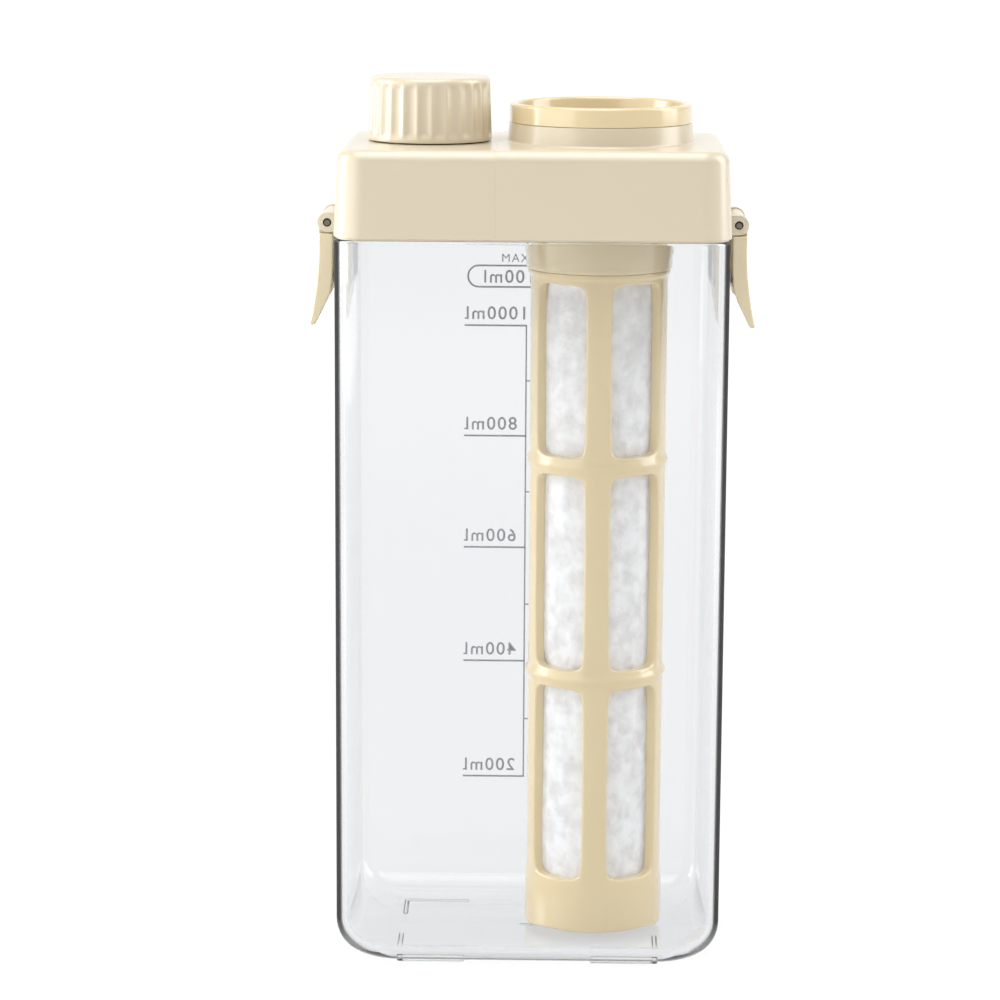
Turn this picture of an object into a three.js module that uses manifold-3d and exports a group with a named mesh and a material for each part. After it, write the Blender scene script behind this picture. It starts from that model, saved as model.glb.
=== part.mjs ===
// Cold brew pitcher: a clear rectangular jar, a deep two-part lid held by two side latches,
// a ribbed screw cap on the pouring spout, and a filter basket hung in the lid's round neck.
// Millimetres, +Z up, front towards -Y, origin at the middle of the base.
import * as THREE from "three";
import { mergeVertices } from "three/addons/utils/BufferGeometryUtils.js";
import Module from "manifold-3d";

const wasm = await Module();
wasm.setup();

// Fits and facets
const FIT = 0.3; // gap between pieces that seat in or run on one another
const BITE = 1; // how far a feature reaches into the wall that it is moulded with
const CORNER_STEPS = 6; // facets round one plan corner
const EDGE_STEPS = 5; // facets over one rounded edge
const SMALL_EDGE_STEPS = 3; // and over one under 1 mm
const ROUND_STEPS = 40; // facets round a turned piece
const CURVE_STEPS = 2; // facets over half of a drawn quarter turn
const LEVER_STEPS = 6; // facets over a lever's curve

// Jar
const JAR_WIDTH = 102;
const JAR_DEPTH = 69;
const JAR_CORNER = 8; // plan radius of the upright corners
const JAR_TAPER = 0.2; // how far each wall leans in at the base
const JAR_WALL = 2.6;
const JAR_FLOOR = 3;
const JAR_BASE_FILLET = 13;
const SHOULDER_Z = 195.2; // the ledge under the lid
const SHOULDER_ROUND = 0.8;
const NECK_WALL = 2.2;
const NECK_ROUND = 0.8;
const LEDGE = 1.3; // how far the shoulder steps in
const NECK_ROOT = 2.8; // height of the upright wall above the shoulder
const NECK_ROOT_WALL = 1.6; // how much lower the slope starts on the inside
const NECK_SLOPE = 2.2; // height of the slope from that wall in to the neck
const FOOT_HEIGHT = 0.6;
const FOOT_WIDTH = 2.2;
const FOOT_LENGTH = 18.2; // along the jar's width
const FOOT_RETURN = 12.8; // along the jar's depth
const FOOT_INSET_X = 16; // from the jar's side to the foot's outer edge
const FOOT_INSET_Y = 10.5; // from the jar's front to the foot's outer edge
const GATE_RADIUS = 2.4; // ring-shaped moulding dimple under the floor
const GATE_CORE = 1.2;
const GATE_DEPTH = 0.4;

// Lid covers
const LID_HEIGHT = 22.8;
const LID_PROUD = 0.2; // how far the lower edge stands out past the jar
const LID_TAPER = 0.95; // how far each side leans in at the top
const LID_WALL = 2.2; // at the top of the skirt
const LID_ROOF = 2.4;
const LID_EDGE_ROUND = 2.2;
const LID_INNER_CORNER = 8; // plan radius inside the skirt
const CAP_MARGIN = 0.358; // share of the lid's free width that lies left of the cap
const NECK_MARGIN = 0.436; // share that lies right of the filter's neck
const SEAM_SHIFT = -0.4; // from the middle between cap and neck to the joint of the two covers
const BREW_NECK_RADIUS = 24.5;
const BREW_NECK_HEIGHT = 5.2;
const BREW_NECK_LEAN = 0.7; // how much smaller the neck is at its top
const BREW_NECK_FLARE = 0.6; // fillet at the foot of the neck

// Lid liner and gasket
const LINER_PLATE = 2.2;
const PLUG_DEPTH = 13;
const PLUG_WALL = 2;
const PLUG_LIP = 1.2;
const GASKET_THICKNESS = 1.9;
const GASKET_PROUD = 0.4; // how far the gasket stands out past the plug's lips
const GASKET_HEIGHT = 5;
const GASKET_WAIST = 0.7; // depth of the waist between the gasket's two lips
const GUIDE_WALL = 1.8; // cone round the filter's funnel

// Pouring spout and screw cap
const SPOUT_RADIUS = 12.6;
const SPOUT_BORE = 10.4;
const CAP_RADIUS = 16.3;
const CAP_LEAN = 0.5; // how much smaller the cap is at its top
const CAP_HEIGHT = 16.7;
const CAP_WALL = 2.3;
const CAP_ROOF = 2.4;
const CAP_EDGE_ROUND = 1.4;
const CAP_SEAL = 1.6; // thickness of the silicone disc
const FLUTE_COUNT = 26;
const FLUTE_RADIUS = 1.7;
const FLUTE_DEPTH = 0.6;
const FLUTE_FACETS = 10;
const FLUTE_PHASE = -0.2; // where the screwed-down cap stops, in flutes
const FLUTE_MARGIN_LOW = 1.3; // plain band under the flutes
const FLUTE_MARGIN_HIGH = 0.4; // from the flutes' ends to the cap's top

// Filter basket
const RIM_RADIUS = 24.1;
const RIM_BORE = 22;
const RIM_HEIGHT = 4.8;
const RIM_ROUND = 0.8;
const SLEEVE_RADIUS = 22.3; // the stretch that stands in the lid's neck
const SLEEVE_LENGTH = 4.6;
const FUNNEL_LENGTH = 12;
const FUNNEL_WALL = 2.1;
const COLLAR_RADIUS = 19.7;
const COLLAR_LENGTH = 17.9;
const COLLAR_CHAMFER = 2.4;
const STEP_RADIUS = 19; // between the collar and the cage
const STEP_LENGTH = 3.4;
const STEP_CHAMFER = 0.8;
const SPIGOT_LENGTH = 8; // the cage's neck, pushed up into the collar
const SPIGOT_CHAMFER = 1.2;
const CAGE_RADIUS = 18.4;
const CAGE_WALL = 2.9;
const CAGE_BAND = 0.4; // how far the rings and the cup stand out past the ribs
const RIB_COUNT = 5;
const RIB_WIDTH = 6.6;
const RING_COUNT = 2;
const RING_HEIGHT = 5;
const TOP_ROW_SHORTER = 5.6; // the first row of windows is this much lower than the others
const WINDOW_ROUND = 2.6;
const CUP_HEIGHT = 15.6;
const CUP_ROUND = 4;
const CUP_FLOOR = 2.2;
const CUP_CLEARANCE = 2.2; // from the jar's floor to the cup
const MESH_THICKNESS = 0.8;

// Latches: distances are out from the pin and down from the pin
const PIN_RADIUS = 0.8;
const PIN_OUT = 2.85; // from the jar's side to the pin
const PIN_RISE = 2.1; // from the lid's lower edge to the pin
const LATCH_WIDTH = 24;
const EAR_RADIUS = 2.6;
const EAR_THICKNESS = 2.2;
const BARREL_RADIUS = 2.3;
const LEVER_OUT = 2.25;
const LEVER_THICKNESS = 1.6;
const LEVER_BEND = 9; // where the lever starts to curve away from the jar
const LEVER_SWEEP = 18; // where the curve's two ends would meet
const LEVER_LENGTH = 26.4;
const LEVER_TIP_OUT = 4.05;
const LEVER_TIP_ROUND = 0.7;
const FLANGE_THICKNESS = 2;
const FLANGE_DEPTH = 3.7;
const FLANGE_EASE = 0.5; // how far the flange draws back beside the hook
const FLANGE_STRAIGHT = 12.5;
const HOOK_DROP = 16.2; // top of the hook
const HOOK_HEIGHT = 2.2;
const HOOK_CHAMFER = 0.8;
const CATCH_PROUD = 1.2;
const CATCH_WIDTH = 17;
const CATCH_RAMP = 7; // sloped upper part of the catch
const CATCH_FLAT = 2.6;
const CATCH_LIFT = 0.5; // from the hook up to the catch

// Finishes
const CREAM = { color: 0xecdfc0, roughness: 0.32, metalness: 0 };
const CLEAR = { color: 0xe8ecee, roughness: 0.05, metalness: 0, transparent: true, opacity: 0.25 };
const SILICONE = { color: 0xe6e4dd, roughness: 0.6, metalness: 0 };
const MESH_CLOTH = { color: 0xf2f2f0, roughness: 0.8, metalness: 0 };
const STEEL = { color: 0x8c8d8f, roughness: 0.3, metalness: 1 };

// Heights that follow from the sizes above
const neckRootZ = SHOULDER_Z + NECK_ROOT;
const lidLowZ = SHOULDER_Z + FIT;
const lidTopZ = lidLowZ + LID_HEIGHT;
const linerTopZ = lidTopZ - LID_ROOF - FIT;
const linerLowZ = linerTopZ - LINER_PLATE;
const plugLowZ = linerLowZ - PLUG_DEPTH;
const gasketLowZ = plugLowZ + PLUG_LIP + FIT;
const gasketTopZ = gasketLowZ + GASKET_HEIGHT;
const neckTopZ = linerLowZ - FIT;
const jarFloorZ = FOOT_HEIGHT + JAR_FLOOR;
const brewSeatZ = lidTopZ + BREW_NECK_HEIGHT;
const capLowZ = lidTopZ + FIT;
const capTopZ = capLowZ + CAP_HEIGHT;
const sealTopZ = capTopZ - CAP_ROOF - FIT;
const sealLowZ = sealTopZ - CAP_SEAL;
const spoutTopZ = sealLowZ - FIT;
const rimLowZ = brewSeatZ + FIT;
const rimTopZ = rimLowZ + RIM_HEIGHT;
const sleeveLowZ = rimLowZ - SLEEVE_LENGTH;
const collarTopZ = sleeveLowZ - FUNNEL_LENGTH;
const collarLowZ = collarTopZ - COLLAR_LENGTH;
const stepTopZ = collarLowZ - COLLAR_CHAMFER;
const stepLowZ = stepTopZ - STEP_LENGTH;
const spigotTopZ = stepTopZ + SPIGOT_LENGTH;
const cupLowZ = jarFloorZ + CUP_CLEARANCE;
const cupTopZ = cupLowZ + CUP_HEIGHT;
const cupInsideZ = cupLowZ + CUP_FLOOR;
const pinX = JAR_WIDTH / 2 + PIN_OUT;
const pinZ = lidLowZ + PIN_RISE;

// Places across the lid, from the free width that the cap and the neck leave
const freeWidth = JAR_WIDTH - 2 * (CAP_RADIUS + BREW_NECK_RADIUS);
const spoutX = CAP_MARGIN * freeWidth + CAP_RADIUS - JAR_WIDTH / 2;
const brewX = JAR_WIDTH / 2 - NECK_MARGIN * freeWidth - BREW_NECK_RADIUS;
const seamX = (spoutX + CAP_RADIUS + brewX - BREW_NECK_RADIUS) / 2 + SEAM_SHIFT;

// Radii that follow
const capBore = CAP_RADIUS - CAP_WALL;
const cageBore = CAGE_RADIUS - CAGE_WALL;
const collarBore = COLLAR_RADIUS - FUNNEL_WALL;
const spigotRadius = collarBore - FIT;
const pinBore = PIN_RADIUS + FIT;
const leverTop = EAR_RADIUS + FIT;

// Plans, from the jar's wall inwards
const jarPlan = { width: JAR_WIDTH, depth: JAR_DEPTH, radius: JAR_CORNER };
const jarBasePlan = shrunk(jarPlan, JAR_TAPER, JAR_CORNER);
const ledgePlan = shrunk(jarPlan, LEDGE);
const skirtPlan = shrunk(ledgePlan, -FIT);
const lidLowPlan = shrunk(jarPlan, -LID_PROUD);
const lidTopPlan = shrunk(lidLowPlan, LID_TAPER);
const cavityPlan = shrunk(lidTopPlan, LID_WALL, LID_INNER_CORNER);
const neckPlan = shrunk(cavityPlan, FIT);
const mouthPlan = shrunk(neckPlan, NECK_WALL);
const gasketPlan = shrunk(mouthPlan, FIT);
const plugPlan = shrunk(gasketPlan, GASKET_PROUD);
const groovePlan = shrunk(gasketPlan, GASKET_THICKNESS + FIT);
const plugBorePlan = shrunk(groovePlan, PLUG_WALL);

// A rounded rectangle moved in from another by a distance.
function shrunk(plan, inset, radius = plan.radius - inset) {
  return { width: plan.width - 2 * inset, depth: plan.depth - 2 * inset, radius };
}

// The points round a rounded rectangle at one height, anticlockwise seen from above.
function ringPoints({ plan, z }) {
  const points = [];
  const corners = [[1, 1], [-1, 1], [-1, -1], [1, -1]];
  corners.forEach(([sideX, sideY], corner) => {
    const centreX = sideX * (plan.width / 2 - plan.radius);
    const centreY = sideY * (plan.depth / 2 - plan.radius);
    for (let step = 0; step <= CORNER_STEPS; step += 1) {
      const angle = (Math.PI / 2) * (corner + step / CORNER_STEPS);
      const x = centreX + plan.radius * Math.cos(angle);
      const y = centreY + plan.radius * Math.sin(angle);
      points.push(new THREE.Vector3(x, y, z));
    }
  });
  return points;
}

// A solid through rounded rectangles listed from the bottom up.
function loft(sections) {
  const rings = sections.map(ringPoints);
  const count = rings[0].length;
  const last = (rings.length - 1) * count;
  const lowCentre = rings.length * count;
  const topCentre = lowCentre + 1;
  const triangles = [];
  for (let j = 0; j < count; j += 1) {
    const next = (j + 1) % count;
    for (let start = 0; start < last; start += count) {
      triangles.push(start + j, start + next, start + count + next);
      triangles.push(start + j, start + count + next, start + count + j);
    }
    triangles.push(lowCentre, next, j);
    triangles.push(topCentre, last + j, last + next);
  }
  const lowPoint = new THREE.Vector3(0, 0, sections[0].z);
  const topPoint = new THREE.Vector3(0, 0, sections.at(-1).z);
  const geometry = new THREE.BufferGeometry().setFromPoints([...rings.flat(), lowPoint, topPoint]);
  geometry.setIndex(triangles);
  return toSolid(geometry);
}

// A straight-sided loft between two heights.
function prism(plan, lowZ, topZ) {
  return loft([{ plan, z: lowZ }, { plan, z: topZ }]);
}

// Sections up a rounded lower edge. The plan corners keep their radius.
function lowerEdge(plan, fillet, z) {
  const sections = [];
  for (let step = 0; step <= EDGE_STEPS; step += 1) {
    const angle = (Math.PI / 2) * (step / EDGE_STEPS);
    const inset = fillet * (1 - Math.sin(angle));
    sections.push({ plan: shrunk(plan, inset, plan.radius), z: z + fillet * (1 - Math.cos(angle)) });
  }
  return sections;
}

// Sections up a rounded upper edge that ends at height z.
function upperEdge(plan, fillet, z, steps = EDGE_STEPS) {
  const sections = [];
  for (let step = 0; step <= steps; step += 1) {
    const angle = (Math.PI / 2) * (step / steps);
    const inset = fillet * (1 - Math.cos(angle));
    sections.push({ plan: shrunk(plan, inset), z: z - fillet + fillet * Math.sin(angle) });
  }
  return sections;
}

// A closed mesh as a solid that can be joined and cut.
function toSolid(geometry) {
  geometry.deleteAttribute("normal");
  geometry.deleteAttribute("uv");
  const merged = mergeVertices(geometry);
  const index = merged.index.array;
  const triangles = [];
  for (let i = 0; i < index.length; i += 3) {
    const [a, b, c] = index.slice(i, i + 3);
    if (a !== b && b !== c && c !== a) {
      triangles.push(a, b, c);
    }
  }
  return new wasm.Manifold(new wasm.Mesh({
    numProp: 3,
    vertProperties: merged.attributes.position.array,
    triVerts: Uint32Array.from(triangles),
  }));
}

// A solid turned about the upright axis at (x, 0) from a path of radius and height.
function turned(path, x = 0) {
  const geometry = new THREE.LatheGeometry(path.getPoints(CURVE_STEPS), ROUND_STEPS);
  geometry.rotateX(Math.PI / 2);
  geometry.translate(x, 0, 0);
  return toSolid(geometry);
}

// A path through straight lines.
function lines(points) {
  return new THREE.Path(points.map(([x, y]) => new THREE.Vector2(x, y)));
}

// A plain drum between two heights, for bores and discs.
function drum(radius, lowZ, topZ, x = 0) {
  return turned(lines([[0, lowZ], [radius, lowZ], [radius, topZ], [0, topZ]]), x);
}

// A plain tube between two heights.
function tube(bore, radius, lowZ, topZ, x = 0) {
  return turned(lines([[bore, lowZ], [radius, lowZ], [radius, topZ], [bore, topZ], [bore, lowZ]]), x);
}

// A shape drawn in X and Z, given a width about the plane y, then turned about the upright axis.
function acrossY(shape, width, y = 0, turn = 0, steps = CURVE_STEPS) {
  const geometry = new THREE.ExtrudeGeometry(shape, {
    depth: width, bevelEnabled: false, curveSegments: steps,
  });
  geometry.rotateX(Math.PI / 2);
  geometry.translate(0, y + width / 2, 0);
  geometry.rotateZ(turn);
  return toSolid(geometry);
}

function polygon(points) {
  return new THREE.Shape(points.map(([x, y]) => new THREE.Vector2(x, y)));
}

// An arc drawn in quarter turns, anticlockwise, on a shape or a path.
function arc(path, x, y, radius, from, to) {
  const quarters = Math.ceil((to - from) / (Math.PI / 2));
  const sweep = (to - from) / quarters;
  for (let quarter = 0; quarter < quarters; quarter += 1) {
    path.absarc(x, y, radius, from + quarter * sweep, from + (quarter + 1) * sweep);
  }
  return path;
}

function disc(x, y, radius) {
  return arc(new THREE.Shape(), x, y, radius, 0, 2 * Math.PI);
}

// A rounded rectangle drawn about (0, y).
function roundedWindow(width, height, radius, y) {
  const right = width / 2 - radius;
  const high = y + height / 2 - radius;
  const low = y - height / 2 + radius;
  const shape = new THREE.Shape();
  shape.absarc(right, high, radius, 0, Math.PI / 2);
  shape.absarc(-right, high, radius, Math.PI / 2, Math.PI);
  shape.absarc(-right, low, radius, Math.PI, 1.5 * Math.PI);
  shape.absarc(right, low, radius, 1.5 * Math.PI, 2 * Math.PI);
  shape.closePath();
  return shape;
}

function joined(solids) {
  return solids.reduce((whole, solid) => whole.add(solid));
}

function cut(solid, tools) {
  return tools.reduce((rest, tool) => rest.subtract(tool), solid);
}

// A named mesh of a finished solid.
function piece(name, solid, finish) {
  const { vertProperties, triVerts } = solid.getMesh();
  const geometry = new THREE.BufferGeometry();
  geometry.setAttribute("position", new THREE.BufferAttribute(vertProperties, 3));
  geometry.setIndex(new THREE.BufferAttribute(triVerts, 1));
  geometry.computeVertexNormals();
  const mesh = new THREE.Mesh(geometry, new THREE.MeshStandardMaterial(finish));
  mesh.name = name;
  return mesh;
}

// The right-hand side is drawn, and the left-hand side is the same turned half round.
const RIGHT = 0;
const LEFT = Math.PI;

// Jar: a lofted shell with an inset neck, a catch on each side and four low corner feet.
function pitcherBody() {
  const outer = loft([
    ...lowerEdge(jarBasePlan, JAR_BASE_FILLET, FOOT_HEIGHT),
    ...upperEdge(jarPlan, SHOULDER_ROUND, SHOULDER_Z, SMALL_EDGE_STEPS),
    { plan: ledgePlan, z: SHOULDER_Z },
    { plan: ledgePlan, z: neckRootZ },
    { plan: neckPlan, z: neckRootZ + NECK_SLOPE },
    ...upperEdge(neckPlan, NECK_ROUND, neckTopZ, SMALL_EDGE_STEPS),
  ]);
  const wallPlan = shrunk(jarPlan, JAR_WALL);
  const floorPlan = shrunk(jarBasePlan, JAR_WALL);
  const inner = loft([
    ...lowerEdge(floorPlan, JAR_BASE_FILLET - JAR_WALL, jarFloorZ),
    { plan: wallPlan, z: neckRootZ - NECK_ROOT_WALL },
    { plan: mouthPlan, z: neckRootZ - NECK_ROOT_WALL + NECK_SLOPE },
    { plan: mouthPlan, z: neckTopZ + BITE },
  ]);
  const dimple = tube(GATE_CORE, GATE_RADIUS, FOOT_HEIGHT - BITE, FOOT_HEIGHT + GATE_DEPTH);
  const shell = cut(outer, [inner, dimple]);
  const solid = joined([shell, sideCatch(RIGHT), sideCatch(LEFT), ...cornerFeet()]);
  return piece("pitcher_body", solid, CLEAR);
}

// The ramped ridge on the jar's side that a latch hook pulls under.
function sideCatch(turn) {
  const wallX = JAR_WIDTH / 2;
  const lowZ = pinZ - HOOK_DROP + CATCH_LIFT;
  const shape = polygon([
    [wallX - BITE, lowZ],
    [wallX + CATCH_PROUD, lowZ],
    [wallX + CATCH_PROUD, lowZ + CATCH_FLAT],
    [wallX - JAR_TAPER, lowZ + CATCH_FLAT + CATCH_RAMP],
    [wallX - BITE, lowZ + CATCH_FLAT + CATCH_RAMP],
  ]);
  return acrossY(shape, CATCH_WIDTH, 0, turn);
}

// Four low L-shaped feet, one near each corner of the base.
function cornerFeet() {
  const x = JAR_WIDTH / 2 - FOOT_INSET_X;
  const y = JAR_DEPTH / 2 - FOOT_INSET_Y;
  const corner = [
    [x, y],
    [x - FOOT_LENGTH, y],
    [x - FOOT_LENGTH, y - FOOT_WIDTH],
    [x - FOOT_WIDTH, y - FOOT_WIDTH],
    [x - FOOT_WIDTH, y - FOOT_RETURN],
    [x, y - FOOT_RETURN],
  ];
  const sides = [[1, 1], [-1, 1], [-1, -1], [1, -1]];
  return sides.map(([sideX, sideY]) => {
    const shape = polygon(corner.map(([px, py]) => [sideX * px, sideY * py]));
    const depth = FOOT_HEIGHT + JAR_FLOOR / 2;
    return toSolid(new THREE.ExtrudeGeometry(shape, { depth, bevelEnabled: false }));
  });
}

// The lid's outer shell on one side of the seam, before its holes and ears.
function lidShell(side) {
  const outer = loft([
    { plan: lidLowPlan, z: lidLowZ },
    ...upperEdge(lidTopPlan, LID_EDGE_ROUND, lidTopZ),
  ]);
  const cavity = loft([
    { plan: skirtPlan, z: lidLowZ - BITE },
    { plan: skirtPlan, z: neckRootZ + FIT },
    { plan: cavityPlan, z: neckRootZ + NECK_SLOPE + FIT },
    { plan: cavityPlan, z: lidTopZ - LID_ROOF },
  ]);
  const reach = 2 * JAR_WIDTH;
  const half = new THREE.BoxGeometry(reach, reach, reach);
  half.translate(seamX + (side * (reach + FIT)) / 2, 0, lidTopZ);
  return outer.subtract(cavity).intersect(toSolid(half));
}

// The pair of ears that hold one latch pin.
function latchEars(turn) {
  const wallX = JAR_WIDTH / 2;
  const shape = new THREE.Shape();
  shape.moveTo(wallX - LID_PROUD, pinZ + EAR_RADIUS);
  shape.lineTo(wallX - LID_PROUD, lidLowZ);
  shape.lineTo(wallX + FIT, lidLowZ);
  shape.lineTo(wallX + FIT, pinZ - EAR_RADIUS);
  shape.lineTo(pinX, pinZ - EAR_RADIUS);
  arc(shape, pinX, pinZ, EAR_RADIUS, -Math.PI / 2, Math.PI / 2);
  shape.closePath();
  const y = (LATCH_WIDTH - EAR_THICKNESS) / 2;
  const ears = [-y, y].map((place) => acrossY(shape, EAR_THICKNESS, place, turn));
  const bore = acrossY(disc(pinX, pinZ, pinBore), LATCH_WIDTH + BITE, 0, turn);
  return joined(ears).subtract(bore);
}

// Left cover: the spout comes up through its hole.
function lidCoverPour() {
  const hole = drum(SPOUT_RADIUS + FIT, linerTopZ, capLowZ, spoutX);
  const solid = joined([lidShell(-1), latchEars(LEFT)]).subtract(hole);
  return piece("lid_cover_pour", solid, CREAM);
}

// Right cover: the round neck carries the filter's rim.
function lidCoverBrew() {
  const foot = BREW_NECK_RADIUS + BREW_NECK_FLARE;
  const path = new THREE.Path();
  path.moveTo(0, lidTopZ - LID_ROOF / 2);
  path.lineTo(foot, lidTopZ - LID_ROOF / 2);
  path.absarc(foot, lidTopZ + BREW_NECK_FLARE, BREW_NECK_FLARE, -Math.PI / 2, -Math.PI, true);
  path.lineTo(BREW_NECK_RADIUS - BREW_NECK_LEAN, brewSeatZ);
  path.lineTo(0, brewSeatZ);
  const neck = turned(path, brewX);
  const bore = drum(SLEEVE_RADIUS + FIT, linerTopZ, brewSeatZ + BITE, brewX);
  const solid = joined([lidShell(1), latchEars(RIGHT), neck]).subtract(bore);
  return piece("lid_cover_brew", solid, CREAM);
}

// Outside radius of the filter's funnel at one height.
function funnelRadius(z) {
  const slope = (SLEEVE_RADIUS - COLLAR_RADIUS) / FUNNEL_LENGTH;
  return SLEEVE_RADIUS - slope * (sleeveLowZ - z);
}

// A solid cone and collar that follows the filter's funnel at a distance.
function funnelForm(distance, lowZ, topZ) {
  return turned(lines([
    [0, lowZ],
    [COLLAR_RADIUS + distance, lowZ],
    [COLLAR_RADIUS + distance, collarTopZ],
    [funnelRadius(topZ) + distance, topZ],
    [0, topZ],
  ]), brewX);
}

// Inner moulding: a plate under both covers, the plug in the jar's mouth, the spout and the guide cone.
function lidLiner() {
  const plate = prism(neckPlan, linerLowZ, linerTopZ);
  const plug = loft([
    { plan: plugPlan, z: plugLowZ },
    { plan: plugPlan, z: plugLowZ + PLUG_LIP },
    { plan: groovePlan, z: plugLowZ + PLUG_LIP },
    { plan: groovePlan, z: gasketTopZ + FIT },
    { plan: plugPlan, z: gasketTopZ + FIT },
    { plan: plugPlan, z: linerLowZ },
  ]);
  const plugBore = prism(plugBorePlan, plugLowZ - BITE, linerLowZ);
  const spout = drum(SPOUT_RADIUS, linerLowZ, spoutTopZ, spoutX);
  const cone = funnelForm(FIT + GUIDE_WALL, plugLowZ, linerTopZ);
  const guide = cone.intersect(prism(groovePlan, plugLowZ, linerTopZ));
  const spoutBore = drum(SPOUT_BORE, linerLowZ - BITE, spoutTopZ + BITE, spoutX);
  const guideBore = funnelForm(FIT, plugLowZ - BITE, linerTopZ + BITE);
  const solid = joined([plate, plug.subtract(plugBore), spout, guide]);
  return piece("lid_liner", cut(solid, [spoutBore, guideBore]), CREAM);
}

// Silicone ring with two sealing lips, seated in the plug's groove.
function lidGasket() {
  const waist = shrunk(gasketPlan, GASKET_WAIST);
  const lip = GASKET_HEIGHT / 5;
  const outer = loft([
    { plan: waist, z: gasketLowZ },
    { plan: gasketPlan, z: gasketLowZ + lip },
    { plan: waist, z: gasketLowZ + 2 * lip },
    { plan: waist, z: gasketTopZ - 2 * lip },
    { plan: gasketPlan, z: gasketTopZ - lip },
    { plan: waist, z: gasketTopZ },
  ]);
  const bore = prism(shrunk(gasketPlan, GASKET_THICKNESS), gasketLowZ - BITE, gasketTopZ + BITE);
  return piece("lid_gasket", outer.subtract(bore), SILICONE);
}

// Screw cap: a turned cup with rounded finger flutes.
function pourCap() {
  const topRadius = CAP_RADIUS - CAP_LEAN;
  const path = new THREE.Path();
  path.moveTo(0, capTopZ - CAP_ROOF);
  path.lineTo(capBore, capTopZ - CAP_ROOF);
  path.lineTo(capBore, capLowZ);
  path.lineTo(CAP_RADIUS, capLowZ);
  path.absarc(topRadius - CAP_EDGE_ROUND, capTopZ - CAP_EDGE_ROUND, CAP_EDGE_ROUND, 0, Math.PI / 2);
  path.lineTo(0, capTopZ);
  const flutes = Array.from({ length: FLUTE_COUNT }, (_, index) => capFlute(index));
  return piece("pour_cap", cut(turned(path), flutes), CREAM);
}

// One flute: a round-ended channel that leans with the cap's wall.
function capFlute(index) {
  const lowZ = capLowZ + FLUTE_MARGIN_LOW;
  const topZ = capTopZ - FLUTE_MARGIN_HIGH;
  const straight = topZ - lowZ - 2 * FLUTE_RADIUS;
  const channel = new THREE.CapsuleGeometry(FLUTE_RADIUS, straight, CURVE_STEPS, FLUTE_FACETS);
  channel.rotateX(Math.PI / 2 - Math.atan(CAP_LEAN / CAP_HEIGHT));
  const wallRadius = CAP_RADIUS - (CAP_LEAN * ((lowZ + topZ) / 2 - capLowZ)) / CAP_HEIGHT;
  channel.translate(0, -(wallRadius + FLUTE_RADIUS - FLUTE_DEPTH), (lowZ + topZ) / 2);
  channel.rotateZ(((index + FLUTE_PHASE) / FLUTE_COUNT) * 2 * Math.PI);
  return toSolid(channel);
}

// Silicone disc that closes the spout, loose under the cap's roof.
function capLiner() {
  return piece("cap_liner", drum(capBore - FIT, sealLowZ, sealTopZ), SILICONE);
}

// The rows of windows between the cup and the step, from the bottom up.
function windowRows() {
  const span = stepLowZ - cupTopZ - RING_COUNT * RING_HEIGHT;
  const height = (span + TOP_ROW_SHORTER) / (RING_COUNT + 1);
  return Array.from({ length: RING_COUNT + 1 }, (_, row) => {
    const lowZ = cupTopZ + row * (height + RING_HEIGHT);
    const topZ = row === RING_COUNT ? stepLowZ : lowZ + height;
    return { lowZ, topZ };
  });
}

// Upper moulding of the filter basket: rim, sleeve, funnel and the collar that takes the cage's neck.
function filterFunnel() {
  const path = new THREE.Path();
  path.moveTo(collarBore, stepTopZ + FIT);
  path.lineTo(STEP_RADIUS, stepTopZ + FIT);
  path.lineTo(COLLAR_RADIUS, collarLowZ);
  path.lineTo(COLLAR_RADIUS, collarTopZ);
  path.lineTo(SLEEVE_RADIUS, sleeveLowZ);
  path.lineTo(SLEEVE_RADIUS, rimLowZ);
  path.lineTo(RIM_RADIUS, rimLowZ);
  path.absarc(RIM_RADIUS - RIM_ROUND, rimTopZ - RIM_ROUND, RIM_ROUND, 0, Math.PI / 2);
  path.absarc(RIM_BORE + RIM_ROUND, rimTopZ - RIM_ROUND, RIM_ROUND, Math.PI / 2, Math.PI);
  path.lineTo(SLEEVE_RADIUS - FUNNEL_WALL, sleeveLowZ);
  path.lineTo(collarBore, collarTopZ);
  path.lineTo(collarBore, stepTopZ + FIT);
  return piece("filter_funnel", turned(path), CREAM);
}

// Lower moulding of the filter basket: the neck in the collar, the ribbed cage and the cup.
function filterFrame() {
  const rows = windowRows();
  const bandRadius = CAGE_RADIUS + CAGE_BAND;
  const path = new THREE.Path();
  path.moveTo(0, cupLowZ);
  path.lineTo(bandRadius - CUP_ROUND, cupLowZ);
  path.absarc(bandRadius - CUP_ROUND, cupLowZ + CUP_ROUND, CUP_ROUND, -Math.PI / 2, 0);
  rows.forEach(({ lowZ, topZ }, row) => {
    path.lineTo(bandRadius, lowZ - CAGE_BAND);
    path.lineTo(CAGE_RADIUS, lowZ);
    path.lineTo(CAGE_RADIUS, topZ);
    if (row < RING_COUNT) {
      path.lineTo(bandRadius, topZ + CAGE_BAND);
    }
  });
  path.lineTo(STEP_RADIUS, stepLowZ + STEP_CHAMFER);
  path.lineTo(STEP_RADIUS, stepTopZ);
  path.lineTo(spigotRadius, stepTopZ);
  path.lineTo(spigotRadius, spigotTopZ);
  path.lineTo(cageBore + SPIGOT_CHAMFER, spigotTopZ);
  path.lineTo(cageBore, spigotTopZ - SPIGOT_CHAMFER);
  path.lineTo(cageBore, cupInsideZ);
  path.lineTo(0, cupInsideZ);
  const windows = rows.flatMap(cageWindows);
  return piece("filter_frame", cut(turned(path), windows), CREAM);
}

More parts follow.
